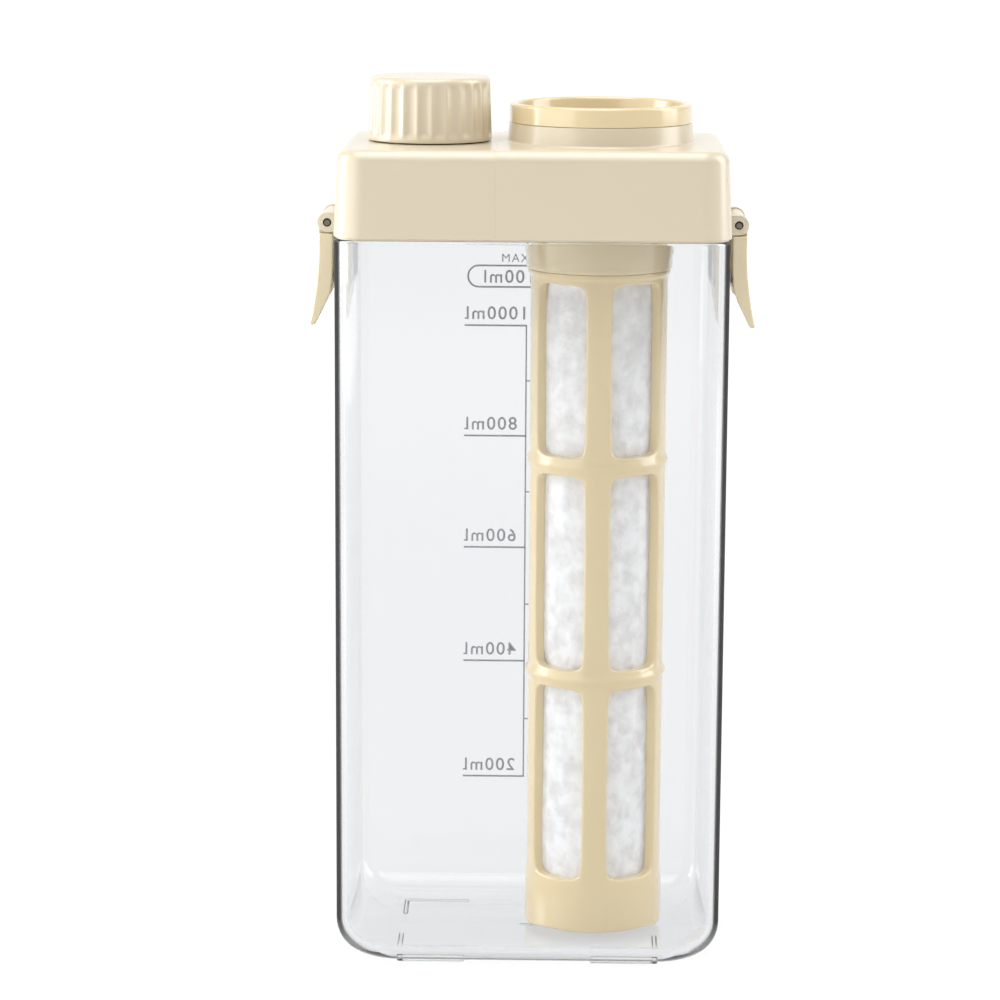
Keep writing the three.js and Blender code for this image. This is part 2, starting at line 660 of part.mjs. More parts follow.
// One row of windows between the ribs. A rib faces the front.
function cageWindows({ lowZ, topZ }) {
  const pitch = (2 * Math.PI) / RIB_COUNT;
  const ribAngle = 2 * Math.asin(RIB_WIDTH / 2 / CAGE_RADIUS);
  const width = 2 * CAGE_RADIUS * Math.sin((pitch - ribAngle) / 2);
  const shape = roundedWindow(width, topZ - lowZ, WINDOW_ROUND, (lowZ + topZ) / 2);
  const depth = 3 * CAGE_WALL;
  const middle = -(cageBore + CAGE_WALL / 2);
  return Array.from({ length: RIB_COUNT }, (_, index) => (
    acrossY(shape, depth, middle, (index + 0.5) * pitch)
  ));
}

// Fine mesh sleeve inside the cage.
function filterMesh() {
  const radius = cageBore - FIT;
  const sleeve = tube(radius - MESH_THICKNESS, radius, cupInsideZ + FIT, stepLowZ);
  return piece("filter_mesh", sleeve, MESH_CLOTH);
}

// Side view of a lever's curved outer skin, from the pin's centre, closed by an inner edge.
function leverShape(innerEdge) {
  const tipX = LEVER_TIP_OUT + LEVER_TIP_ROUND;
  const shape = new THREE.Shape();
  shape.moveTo(LEVER_OUT, -leverTop);
  innerEdge(shape);
  shape.absarc(LEVER_TIP_OUT, -LEVER_LENGTH, LEVER_TIP_ROUND, Math.PI, 2 * Math.PI);
  shape.lineTo(tipX, -LEVER_LENGTH);
  shape.quadraticCurveTo(LEVER_OUT, -LEVER_SWEEP, LEVER_OUT, -LEVER_BEND);
  shape.closePath();
  return shape;
}

// Latch lever: a barrel on the pin, a curved plate, two side flanges and the hook between them.
function latchLever(name) {
  const inner = LEVER_OUT - LEVER_THICKNESS;
  const flangeX = LEVER_OUT - FLANGE_DEPTH;
  const hookX = JAR_WIDTH / 2 + CATCH_PROUD + FIT - pinX;
  const hookLow = HOOK_DROP + HOOK_HEIGHT;
  const tipX = LEVER_TIP_OUT - LEVER_TIP_ROUND;
  const plate = acrossY(leverShape((shape) => {
    shape.lineTo(inner, -leverTop);
    shape.lineTo(inner, -LEVER_BEND);
    shape.quadraticCurveTo(inner, -LEVER_SWEEP, tipX, -LEVER_LENGTH);
  }), LATCH_WIDTH, 0, 0, LEVER_STEPS);
  const flange = leverShape((shape) => {
    shape.lineTo(flangeX, -leverTop);
    shape.lineTo(flangeX, -FLANGE_STRAIGHT);
    shape.lineTo(flangeX + FLANGE_EASE, -hookLow);
    shape.lineTo(tipX, -LEVER_LENGTH);
  });
  const flangeY = (LATCH_WIDTH - FLANGE_THICKNESS) / 2;
  const flanges = [-flangeY, flangeY].map((y) => acrossY(flange, FLANGE_THICKNESS, y, 0, LEVER_STEPS));
  const hook = acrossY(polygon([
    [inner + LEVER_THICKNESS / 2, -HOOK_DROP],
    [hookX, -HOOK_DROP],
    [hookX, -hookLow + HOOK_CHAMFER],
    [hookX + HOOK_CHAMFER, -hookLow],
    [inner + LEVER_THICKNESS / 2, -hookLow],
  ]), LATCH_WIDTH - FLANGE_THICKNESS);
  const barrelWidth = LATCH_WIDTH - 2 * (EAR_THICKNESS + FIT);
  const barrel = acrossY(disc(0, 0, BARREL_RADIUS), barrelWidth);
  const root = acrossY(polygon([
    [LEVER_OUT, 0],
    [inner, 0],
    [inner, -LEVER_BEND],
    [LEVER_OUT, -LEVER_BEND],
  ]), barrelWidth);
  const bore = acrossY(disc(0, 0, pinBore), LATCH_WIDTH);
  const solid = joined([plate, ...flanges, hook, barrel, root]).subtract(bore);
  return piece(name, solid, CREAM);
}

function latchPin(name) {
  return piece(name, acrossY(disc(0, 0, PIN_RADIUS), LATCH_WIDTH), STEEL);
}

// One latch on its pin, placed at the lid's ears.
function latch(side, turn) {
  const group = new THREE.Group();
  group.position.set(pinX * Math.cos(turn), 0, pinZ);
  group.rotation.z = turn;
  group.add(latchLever(`latch_${side}`), latchPin(`latch_pin_${side}`));
  return group;
}

const filter = new THREE.Group();
filter.position.x = brewX;
filter.add(filterFunnel(), filterFrame(), filterMesh());

const cap = new THREE.Group();
cap.position.x = spoutX;
cap.add(pourCap(), capLiner());

const lid = new THREE.Group();
lid.add(lidCoverPour(), lidCoverBrew(), lidLiner(), lidGasket());
lid.add(latch("left", LEFT), latch("right", RIGHT), filter, cap);

const pitcher = new THREE.Group();
pitcher.add(pitcherBody(), lid);

export default pitcher;
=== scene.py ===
import math

import bmesh
import bpy
from bmesh.types import BMEdge, BMFace, BMVert
from mathutils import Matrix, Quaternion, Vector, noise


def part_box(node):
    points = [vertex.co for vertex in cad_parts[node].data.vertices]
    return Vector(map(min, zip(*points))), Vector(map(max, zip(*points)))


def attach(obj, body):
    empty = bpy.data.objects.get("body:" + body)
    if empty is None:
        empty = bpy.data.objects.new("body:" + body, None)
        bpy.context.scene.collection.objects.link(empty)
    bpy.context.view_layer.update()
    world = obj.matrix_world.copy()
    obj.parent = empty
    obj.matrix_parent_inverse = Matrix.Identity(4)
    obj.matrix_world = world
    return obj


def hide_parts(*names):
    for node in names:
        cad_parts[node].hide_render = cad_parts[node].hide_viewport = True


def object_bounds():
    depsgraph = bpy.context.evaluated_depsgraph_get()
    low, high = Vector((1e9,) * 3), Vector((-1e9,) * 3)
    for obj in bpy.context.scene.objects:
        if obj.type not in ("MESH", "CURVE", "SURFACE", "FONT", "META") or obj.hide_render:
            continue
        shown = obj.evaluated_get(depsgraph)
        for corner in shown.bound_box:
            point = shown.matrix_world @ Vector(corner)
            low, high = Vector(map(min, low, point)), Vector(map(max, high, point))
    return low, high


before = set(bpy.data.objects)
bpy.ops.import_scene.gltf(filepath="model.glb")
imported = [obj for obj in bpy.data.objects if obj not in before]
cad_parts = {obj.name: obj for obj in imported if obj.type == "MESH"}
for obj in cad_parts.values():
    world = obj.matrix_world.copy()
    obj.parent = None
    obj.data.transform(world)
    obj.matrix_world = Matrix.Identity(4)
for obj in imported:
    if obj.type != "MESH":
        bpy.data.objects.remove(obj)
cad_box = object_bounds()

# Jar
# The clear jug that holds the brew: one injection-moulded shell of copolyester. Its neck is set in
# under the lid, a ridge on each side catches a latch, and four low corner feet carry it.
MM = 0.001  # pieces are drawn in millimetres and become metres as they leave the mould
CORNER_SEGMENTS = 14
TURN_SEGMENTS = 96


def box_mm(node):
    """Lowest and highest corner of a node, in millimetres."""
    low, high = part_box(node)
    return low / MM, high / MM


def rounding(radius, steps):
    """How far a rounded edge falls short of its sharp corner: pairs that start at (radius, 0)."""
    angles = [math.pi / 2 * step / steps for step in range(steps + 1)]
    return [(radius * (1 - math.sin(angle)), radius * (1 - math.cos(angle))) for angle in angles]


def made_parts(made, kind):
    return [part for part in made if isinstance(part, kind)]


def edges_of(verts):
    return list({edge for v in verts for edge in v.link_edges})


def bevel(bm, geom, affect, offset, segments, clamp=False):
    """Rounds vertices or edges, and gives the new vertices."""
    return bmesh.ops.bevel(
        bm, geom=geom, offset=offset, offset_type="OFFSET", affect=affect, segments=segments,
        profile=0.5, material=-1, clamp_overlap=clamp)["verts"]


def thicken(bm, faces, vector):
    """Draws flat faces along a vector, and gives the vertices of the solid."""
    base = {v for face in faces for v in face.verts}
    made = bmesh.ops.extrude_face_region(bm, geom=faces, use_keep_orig=True)["geom"]
    far = made_parts(made, BMVert)
    bmesh.ops.translate(bm, vec=vector, verts=far)
    solid = base | set(far)
    bmesh.ops.recalc_face_normals(bm, faces=list({f for v in solid for f in v.link_faces}))
    return list(solid)


def draw_on(bm, edges):
    """Extrudes open edges, and gives the new vertices and the new open edges."""
    made = bmesh.ops.extrude_edge_only(bm, edges=edges)["geom"]
    return made_parts(made, BMVert), [edge for edge in made_parts(made, BMEdge) if edge.is_boundary]


def close(bm, ring):
    bmesh.ops.edgeloop_fill(bm, edges=ring[0])


def start_ring(bm, plan, keep_face=False):
    """A rounded rectangle of half width, half depth, corner radius and height."""
    half_x, half_y, radius, z = plan
    corners = bmesh.ops.create_grid(bm, x_segments=1, y_segments=1, size=1)["verts"]
    bmesh.ops.scale(bm, vec=(half_x, half_y, 1), verts=corners)
    bmesh.ops.translate(bm, vec=(0, 0, z), verts=corners)
    rounded = bevel(bm, corners, "VERTICES", radius, CORNER_SEGMENTS)
    face = rounded[0].link_faces[0]
    edges = list(face.edges)
    if not keep_face:
        bmesh.ops.delete(bm, geom=[face], context="FACES_ONLY")
    return edges, plan


def next_ring(bm, ring, plan):
    """Draws a ring on to the next one: each corner is scaled about its centre and moved."""
    edges, (was_x, was_y, was_radius, was_z) = ring
    half_x, half_y, radius, z = plan
    verts, edges = draw_on(bm, edges)
    share = radius / was_radius
    for side_x in (-1, 1):
        for side_y in (-1, 1):
            corner = [v for v in verts if v.co.x * side_x > 0 and v.co.y * side_y > 0]
            old = Vector((side_x * (was_x - was_radius), side_y * (was_y - was_radius), was_z))
            new = Vector((side_x * (half_x - radius), side_y * (half_y - radius), z))
            bmesh.ops.scale(bm, vec=(share, share, 1), space=Matrix.Translation(-old), verts=corner)
            bmesh.ops.translate(bm, vec=new - old, verts=corner)
    return edges, plan


def ring_chain(bm, ring, plans):
    for plan in plans:
        ring = next_ring(bm, ring, plan)
    return ring


def start_circle(bm, radius, x, z, segments=TURN_SEGMENTS):
    """A circle of edges about the upright axis at x, with a vertex facing the front."""
    verts = bmesh.ops.create_circle(bm, segments=segments, radius=radius)["verts"]
    first = math.atan2(verts[0].co.y, verts[0].co.x)
    bmesh.ops.rotate(bm, matrix=Matrix.Rotation(-math.pi / 2 - first, 3, "Z"), verts=verts)
    bmesh.ops.translate(bm, vec=(x, 0, z), verts=verts)
    return edges_of(verts), radius, x, z


def next_circle(bm, circle, radius, z):
    edges, was_radius, x, was_z = circle
    verts, edges = draw_on(bm, edges)
    share = radius / was_radius
    bmesh.ops.scale(bm, vec=(share, share, 1), space=Matrix.Translation((-x, 0, 0)), verts=verts)
    bmesh.ops.translate(bm, vec=(0, 0, z - was_z), verts=verts)
    return edges, radius, x, z


def circle_chain(bm, circle, steps):
    for radius, z in steps:
        circle = next_circle(bm, circle, radius, z)
    return circle


def extruded(bm, outline, vector):
    """A solid from a flat outline of a few points, drawn along a vector."""
    return thicken(bm, [bm.faces.new([bm.verts.new(point) for point in outline])], vector)


def soften(bm, verts, offset, segments=3, angle=0.5):
    """Rounds the sharp edges among some vertices."""
    chosen = set(verts)
    edges = [edge for edge in edges_of(verts)
             if chosen.issuperset(edge.verts) and edge.calc_face_angle(0) > angle]
    bevel(bm, edges, "EDGES", offset, segments, clamp=True)


def new_object(name, data):
    made = bpy.data.objects.new(name, data)
    bpy.context.scene.collection.objects.link(made)
    return made


def plain_mesh(thing):
    """An object's mesh as its modifiers or its text leave it."""
    evaluated = thing.evaluated_get(bpy.context.evaluated_depsgraph_get())
    return bpy.data.meshes.new_from_object(evaluated)


def solid_object(name, bm):
    """Closes a drawn shape, points its faces out and makes it an object in metres."""
    bmesh.ops.remove_doubles(bm, verts=bm.verts, dist=0.0005)
    bmesh.ops.recalc_face_normals(bm, faces=bm.faces)
    bmesh.ops.scale(bm, vec=(MM, MM, MM), verts=bm.verts)
    mesh = bpy.data.meshes.new(name)
    bm.to_mesh(mesh)
    bm.free()
    return new_object(name, mesh)


def fuse(piece, tool, operation):
    """Joins a second solid to a piece or cuts it away, and keeps the result as plain mesh."""
    modifier = piece.modifiers.new("fuse", "BOOLEAN")
    modifier.object = tool
    modifier.operation = operation
    modifier.solver = "EXACT"
    piece.data = plain_mesh(piece)
    piece.modifiers.clear()
    bpy.data.objects.remove(tool)


def finish_piece(piece, material, body, nodes=(), sharp=35):
    """Gives a piece its shading, finish and body, and hides the nodes that it stands for."""
    piece.data.materials.clear()
    piece.data.materials.append(material)
    piece.data.shade_smooth()
    piece.data.set_sharp_from_angle(angle=math.radians(sharp))
    normals = piece.modifiers.new("even_normals", "WEIGHTED_NORMAL")
    normals.keep_sharp = True
    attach(piece, body)
    if nodes:
        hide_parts(*nodes)


def linear(code):
    """An sRGB hex colour as linear red, green, blue and alpha."""
    shares = [int(code[start:start + 2], 16) / 255 for start in (1, 3, 5)]
    return (*(s / 12.92 if s <= 0.04045 else ((s + 0.055) / 1.055) ** 2.4 for s in shares), 1.0)


def new_material(name):
    material = bpy.data.materials.new(name)
    material.use_nodes = True
    material.node_tree.nodes.clear()
    return material, material.node_tree


def add_node(tree, kind, inputs=None, **settings):
    """Adds a shader node with its settings, and sets or links its inputs."""
    made = tree.nodes.new("ShaderNode" + kind)
    for name, value in settings.items():
        setattr(made, name, value)
    for name, value in (inputs or {}).items():
        if isinstance(value, bpy.types.NodeSocket):
            tree.links.new(value, made.inputs[name])
        else:
            made.inputs[name].default_value = value
    return made


jar_high = box_mm("pitcher_body")[1]
catch_proud = 1.2
half_x = jar_high.x - catch_proud
half_y = jar_high.y
plan_corner = 8.0
wall_taper = 0.05
jar_wall = 2.6
jar_floor = 3.0
base_fillet = 13.0
foot_height = 0.6
floor_margin = 1.5  # flat strip that keeps the floor's shading even
shoulder_z = 195.2
shoulder_round = 0.8
neck_inset = 3.25
neck_corner = 7.7
neck_wall = 2.2
neck_round = 0.8
ledge = 1.3
neck_root_z = shoulder_z + 2.8
neck_root_wall = 1.6
neck_slope = 2.2
neck_top_z = jar_high.z


def jar_plan(inset, z, radius=plan_corner):
    return half_x - inset, half_y - inset, radius, z


jar = bmesh.new()
base_inset = wall_taper + base_fillet + floor_margin
bottom = start_ring(
    jar, jar_plan(base_inset, foot_height, plan_corner - floor_margin), keep_face=True)
jar_rings = [jar_plan(wall_taper + inset, foot_height + up) for inset, up in rounding(base_fillet, 14)]
jar_rings += [jar_plan(inset, shoulder_z - down, plan_corner - inset)
              for down, inset in rounding(shoulder_round, 4)]
jar_rings += [
    jar_plan(ledge, shoulder_z, plan_corner - ledge),
    jar_plan(ledge, neck_root_z, plan_corner - ledge),
    jar_plan(neck_inset, neck_root_z + neck_slope, neck_corner),
    jar_plan(neck_inset, neck_top_z - neck_round, neck_corner)]
jar_rings += [jar_plan(neck_inset + inset, neck_top_z - down, neck_corner - inset)
              for down, inset in rounding(neck_round, 4)[1:]]
mouth_inset = neck_inset + neck_wall
mouth_corner = neck_corner - neck_wall
slope_z = neck_root_z - neck_root_wall
inner_corner = plan_corner - jar_wall
jar_rings += [
    jar_plan(mouth_inset, neck_top_z, mouth_corner),
    jar_plan(mouth_inset, slope_z + neck_slope, mouth_corner),
    jar_plan(jar_wall, slope_z, inner_corner)]
inner_fillet = base_fillet - jar_wall
floor_z = foot_height + jar_floor
inner_inset = wall_taper + jar_wall
jar_rings += [jar_plan(inner_inset + inset, floor_z + up, inner_corner)
              for inset, up in reversed(rounding(inner_fillet, 14))]
jar_rings += [
    jar_plan(inner_inset + inner_fillet + floor_margin, floor_z, inner_corner - floor_margin)]
close(jar, ring_chain(jar, bottom, jar_rings))
jar_piece = solid_object("jar", jar)

foot_x = half_x - 16.0
foot_y = half_y - 10.5
foot_length = 18.2
foot_return = 12.8
foot_width = 1.5
foot_round = 0.55
foot_plan = [(0, 0), (foot_length, 0), (foot_length, foot_width), (foot_width, foot_width),
             (foot_width, foot_return), (0, foot_return)]
catch_round = 0.3
catch_low_z = 181.9
catch_flat_z = 184.5
catch_top_z = 191.5
catch_width = 17.0
catch_bite = 1.0
catch_side = [(-catch_bite, catch_low_z), (catch_proud, catch_low_z), (catch_proud, catch_flat_z),
              (-wall_taper, catch_top_z), (-catch_bite, catch_top_z)]
ridges = bmesh.new()
for side_x in (-1, 1):
    for side_y in (-1, 1):
        outline = [(side_x * (foot_x - x), side_y * (foot_y - y), 0) for x, y in foot_plan]
        soften(ridges, extruded(ridges, outline, (0, 0, foot_height + jar_floor / 2)), foot_round)
    outline = [(side_x * (half_x + out), -catch_width / 2, z) for out, z in catch_side]
    soften(ridges, extruded(ridges, outline, (0, catch_width, 0)), catch_round)
fuse(jar_piece, solid_object("ridges", ridges), "UNION")

gate_core = 1.2
gate_radius = 2.4
gate_depth = 0.6
gate = bmesh.new()
gate_ring = start_circle(gate, gate_core, 0, 0)
circle_chain(gate, gate_ring, [
    (gate_radius, 0), (gate_radius, foot_height + gate_depth), (gate_core, foot_height + gate_depth),
    (gate_core, 0)])
fuse(jar_piece, solid_object("gate_mark", gate), "DIFFERENCE")

# Mask of the outer corner arcs and feet, where the glass is painted near black edge-on: painted shade
edge_shade_corners = jar_piece.data.attributes.new("edge_shade_corners", "FLOAT", "POINT")
corner_fade = 0.8  # over which the skin of a corner runs out into the flat walls
for vert in jar_piece.data.vertices:
    x, y, z = vert.co / MM
    over_x = abs(x) - half_x + plan_corner
    over_y = abs(y) - half_y + plan_corner
    depth = plan_corner - math.hypot(max(over_x, 0), max(over_y, 0)) - min(max(over_x, over_y), 0)
    rise = min(max((z - foot_height) / base_fillet, 0), 1)
    skin_depth = base_fillet * (1 - math.sqrt(1 - (1 - rise) ** 2))
    in_corner = min(max(min(over_x, over_y) / corner_fade, 0), 1)
    is_outside = depth < skin_depth + jar_wall / 2 or z < foot_height + jar_floor / 2
    is_foot = z < foot_height + corner_fade / 10
    edge_shade_corners.data[vert.index].value = 1.0 if is_foot else in_corner if is_outside else 0.0

# Clear copolyester, moulded in a polished tool: it bends the light behind it. Where a rounded corner or
# a foot is seen edge-on, its colour is painted near black and hazy, a painted shade of dark edges.
# Lamps and soft light pass in to what it holds.
clear_copolyester, tree = new_material("clear_copolyester")
TOOL_WAVE = 35 * MM  # slow waviness of the polished tool
place = add_node(tree, "TexCoord")
wave = add_node(tree, "TexNoise", {
    "Vector": place.outputs["Object"], "Scale": 1 / TOOL_WAVE, "Detail": 1.0})
ripple = add_node(tree, "Bump", {"Height": wave.outputs["Fac"], "Strength": 0.02, "Distance": 0.001})
along_wall = add_node(tree, "LayerWeight", {"Blend": 0.5})
rim_share = add_node(tree, "MapRange", {
    "Value": along_wall.outputs["Facing"], "From Min": 0.36, "From Max": 0.56},
    interpolation_type="SMOOTHSTEP")
turned = add_node(tree, "SeparateXYZ", {"Vector": add_node(tree, "NewGeometry").outputs["Normal"]})
lean = add_node(tree, "Math", {0: turned.outputs["Z"]}, operation="ABSOLUTE")
upright = add_node(tree, "Math", {0: 1.0, 1: lean.outputs[0]}, operation="SUBTRACT")
on_corner = add_node(tree, "Attribute", attribute_name="edge_shade_corners")
upright_corner = add_node(tree, "Math", {
    0: upright.outputs[0], 1: on_corner.outputs["Fac"]}, operation="MULTIPLY")
edge_on = add_node(tree, "Math", {
    0: rim_share.outputs["Result"], 1: upright_corner.outputs[0]}, operation="MULTIPLY")
# Painted shade: the colour goes near black where the masked corners and feet are seen edge-on.
painted_edge_shade = add_node(tree, "Mix", {
    "Factor": edge_on.outputs[0], "A": linear("#F9FAFA"), "B": linear("#050505")}, data_type="RGBA")
edge_haze = add_node(tree, "MapRange", {"Value": edge_on.outputs[0], "To Min": 0.015, "To Max": 0.8})
clear = add_node(tree, "BsdfPrincipled", {
    "Base Color": painted_edge_shade.outputs["Result"], "Roughness": edge_haze.outputs["Result"],
    "IOR": 1.54, "Transmission Weight": 1.0, "Normal": ripple.outputs["Normal"]})
passing = add_node(tree, "BsdfTransparent", {"Color": linear("#FEFEFE")})
path = add_node(tree, "LightPath")
passes_in = add_node(tree, "Math", {
    0: path.outputs["Is Shadow Ray"], 1: path.outputs["Is Diffuse Ray"]}, operation="MAXIMUM")
surface = add_node(tree, "MixShader", {
    "Fac": passes_in.outputs[0], 1: clear.outputs[0], 2: passing.outputs[0]})
depth_tint = add_node(tree, "VolumeAbsorption", {"Color": linear("#DEDFE3"), "Density": 86.0})
add_node(tree, "OutputMaterial", {"Surface": surface.outputs[0], "Volume": depth_tint.outputs[0]})
finish_piece(jar_piece, clear_copolyester, "jar", ["pitcher_body"])

# Volume marks
# A scale of millilitres screen-printed in grey ink on the outside of the back wall, so that it reads
# from behind and shows through the jar from the front.
print_x = -1.8
tick_length = 17.3
tick_width = 0.5
axis_width = 0.4
minor_length = 3.6
ink_depth = 0.03
digit_height = 3.55
text_rise = 1.75
hook_length = 1.0  # foot of the last letter
back_y = half_y + 0.01
levels = {"1000ml": 164.8, "800ml": 133.95, "600ml": 102.4, "400ml": 69.9, "200ml": 36.4}
most_low_z = 175.25
most_high_z = 181.65
most_left_x = -18.4
most_right_x = 11.5
most_text_x = -13.7
max_x = -8.8
max_height = 2.25
max_rise = 0.75


def ink_bar(bm, x0, x1, z0, z1):
    """A printed bar on the back wall between two corners."""
    outline = [(x0, back_y, z0), (x1, back_y, z0), (x1, back_y, z1), (x0, back_y, z1)]
    extruded(bm, outline, (0, ink_depth, 0))


def ink_text(bm, words, height, x, z, reads_from_behind=True, swell=0.01):
    """Printed words on the back wall, whose left end, seen from the front, is at x."""
    curve = bpy.data.curves.new("words", "FONT")
    curve.body = words
    curve.space_character = 1.18
    curve.offset = swell
    curve.extrude = 0.5
    writing = new_object("words", curve)
    letters = plain_mesh(writing)
    bpy.data.objects.remove(writing)
    before = len(bm.verts)
    bm.from_mesh(letters)
    bm.verts.ensure_lookup_table()
    verts = bm.verts[before:]
    share = height / max(v.co.y for v in verts)
    way = -1 if reads_from_behind else 1
    left = min(way * v.co.x for v in verts)
    on_wall = Matrix((
        (way, 0, 0, x - left * share), (0, 0, 1, back_y + ink_depth / 2), (0, 1, 0, z),
        (0, 0, 0, 1)))
    sized = Matrix.Diagonal((share, share, ink_depth, 1))
    bmesh.ops.transform(bm, matrix=on_wall @ sized, verts=verts)


def ink_stadium(bm, x0, x1, z0, z1, width):
    """A printed outline with two round ends."""
    radius = (z1 - z0) / 2
    middle_z = (z0 + z1) / 2
    turns = [math.pi / 24 * step for step in range(25)]
    path = [(x1 - radius, math.pi / 2 - turn) for turn in turns]
    path += [(x0 + radius, -math.pi / 2 - turn) for turn in turns]
    loops = []
    for reach in (radius, radius - width):
        loops.append([
            bm.verts.new((x + reach * math.cos(turn), back_y, middle_z + reach * math.sin(turn)))
            for x, turn in path])
    outer, inner = loops
    faces = [bm.faces.new((outer[i - 1], outer[i], inner[i], inner[i - 1]))
             for i in range(len(outer))]
    thicken(bm, faces, (0, ink_depth, 0))


marks = bmesh.new()
left_x = print_x - tick_length
for words, z in levels.items():
    ink_bar(marks, left_x, print_x, z - tick_width / 2, z + tick_width / 2)
    ink_bar(marks, left_x, left_x + hook_length, z + text_rise, z + text_rise + axis_width)
    ink_text(marks, words, digit_height, left_x + hook_length - axis_width, z + text_rise)
heights = sorted(levels.values())
ink_bar(marks, print_x - axis_width, print_x, heights[0], heights[-1])
for low, high in zip(heights, heights[1:]):
    z = (low + high) / 2
    ink_bar(marks, print_x, print_x + minor_length, z - axis_width / 2, z + axis_width / 2)
ink_stadium(marks, most_left_x, most_right_x, most_low_z, most_high_z, tick_width)
most_text_z = (most_low_z + most_high_z - digit_height) / 2
ink_text(marks, "1100ml", digit_height, most_text_x, most_text_z)
ink_text(marks, "MAX", max_height, max_x, most_high_z + max_rise, reads_from_behind=False, swell=0)
marks_piece = solid_object("volume_marks", marks)

# Screen ink: a thin matt grey film, a little uneven where the screen laid it down.
screen_ink, tree = new_material("screen_ink")
INK_PATCH = 1.5 * MM
place = add_node(tree, "TexCoord")
patches = add_node(tree, "TexNoise", {
    "Vector": place.outputs["Object"], "Scale": 1 / INK_PATCH, "Detail": 2.0})
laid = add_node(tree, "Mix", {
    "Factor": patches.outputs["Fac"], "A": linear("#818386"), "B": linear("#97999C")}, data_type="RGBA")
film = add_node(tree, "BsdfPrincipled", {"Base Color": laid.outputs["Result"], "Roughness": 0.6})
add_node(tree, "OutputMaterial", {"Surface": film.outputs[0]})
finish_piece(marks_piece, screen_ink, "jar")

# Lid liner
# The inner moulding of the lid in cream plastic: a plate under both covers, a plug that fits the jar's
# mouth, the pouring spout and a cone that guides the filter. The covers are welded down on it.
cap_low, cap_high = box_mm("pour_cap")
funnel_low, funnel_high = box_mm("filter_funnel")
liner_low, liner_high = box_mm("lid_liner")
spout_x = (cap_low.x + cap_high.x) / 2
brew_x = (funnel_low.x + funnel_high.x) / 2


def fill_between(bm, *loops):
    """Flat faces between an outer loop and the holes in it."""
    edges = [edge for loop in loops for edge in loop]
    filled = bmesh.ops.triangle_fill(bm, use_beauty=True, use_dissolve=False, edges=edges)
    return made_parts(filled["geom"], BMFace)


liner_plate = 2.2
liner_top_z = 215.6
plate_low_z = liner_top_z - liner_plate
plug_low_z = liner_low.z
plug_lip = 1.2
gasket_low, gasket_high = box_mm("lid_gasket")
fit = 0.3
gasket_proud = 0.4
plug_x = gasket_high.x - gasket_proud
plug_y = gasket_high.y - gasket_proud
plug_round = 0.3
groove_depth = 1.8
plug_corner = 4.8
groove_corner = 3.0
bore_inset = groove_depth + 2.0
bore_corner = 1.0
liner_x, liner_y = liner_high.x, liner_high.y


def plug_plan(inset, radius, z):
    return plug_x - inset, plug_y - inset, radius, z


liner = bmesh.new()
under_ring = start_ring(liner, plug_plan(bore_inset, bore_corner, plate_low_z))
top_ring = ring_chain(liner, under_ring, [
    plug_plan(bore_inset, bore_corner, plug_low_z),
    plug_plan(plug_round, plug_corner - plug_round, plug_low_z),
    plug_plan(0, plug_corner, plug_low_z + plug_round),
    plug_plan(0, plug_corner, plug_low_z + plug_lip),
    plug_plan(groove_depth, groove_corner, plug_low_z + plug_lip),
    plug_plan(groove_depth, groove_corner, gasket_high.z + fit),
    plug_plan(0, plug_corner, gasket_high.z + fit),
    plug_plan(0, plug_corner, plate_low_z),
    (liner_x, liner_y, neck_corner, plate_low_z),
    (liner_x, liner_y, neck_corner, liner_top_z)])
spout_radius = 12.6
spout_bore = 10.4
spout_round = 0.5
spout_top_z = liner_high.z
spout = start_circle(liner, spout_radius, spout_x, liner_top_z)
spout_end = circle_chain(liner, spout, [
    (spout_radius, spout_top_z - spout_round), (spout_radius - spout_round, spout_top_z),
    (spout_bore + spout_round, spout_top_z), (spout_bore, spout_top_z - spout_round),
    (spout_bore, plate_low_z)])
THREAD_LEAD = 8.0  # rise in one turn; the two ridges start a quarter of it apart
thread_z = 221.5
thread_turns = 0.75
thread_height = 0.8
thread_width = 1.6
thread_root = 0.2  # of the ridge that lies inside the wall


def thread(bm, radius, height, starts):
    """Right-handed screw ridges on the spout's axis; a height below zero stands inward."""
    root = radius - math.copysign(thread_root, height)
    tip = radius + height
    section = [(root, -thread_width / 2), (root, thread_width / 2), (tip, thread_width / 5),
               (tip, -thread_width / 5)]
    for z in starts:
        start = bm.faces.new([bm.verts.new((spout_x, -reach, z + up)) for reach, up in section])
        bmesh.ops.spin(
            bm, geom=[start, *start.edges, *start.verts], cent=(spout_x, 0, 0), axis=(0, 0, 1),
            dvec=(0, 0, THREAD_LEAD / TURN_SEGMENTS), angle=2 * math.pi * thread_turns,
            steps=round(thread_turns * TURN_SEGMENTS), use_duplicate=False)


thread(liner, spout_radius, thread_height, (thread_z, thread_z - THREAD_LEAD / 4))
guide_bore = 20.0
guide_top_bore = 21.82
guide_bend_z = 207.2
guide_wall = 1.8
guide_under_radius = 23.14
guide = start_circle(liner, guide_top_bore, brew_x, liner_top_z)
guide_end = circle_chain(liner, guide, [
    (guide_bore, guide_bend_z), (guide_bore, plug_low_z),
    (guide_bore + guide_wall, plug_low_z), (guide_bore + guide_wall, guide_bend_z),
    (guide_under_radius, plate_low_z)])
fill_between(liner, top_ring[0], spout[0], guide[0])
fill_between(liner, under_ring[0], spout_end[0], guide_end[0])
liner_piece = solid_object("lid_liner_moulding", liner)


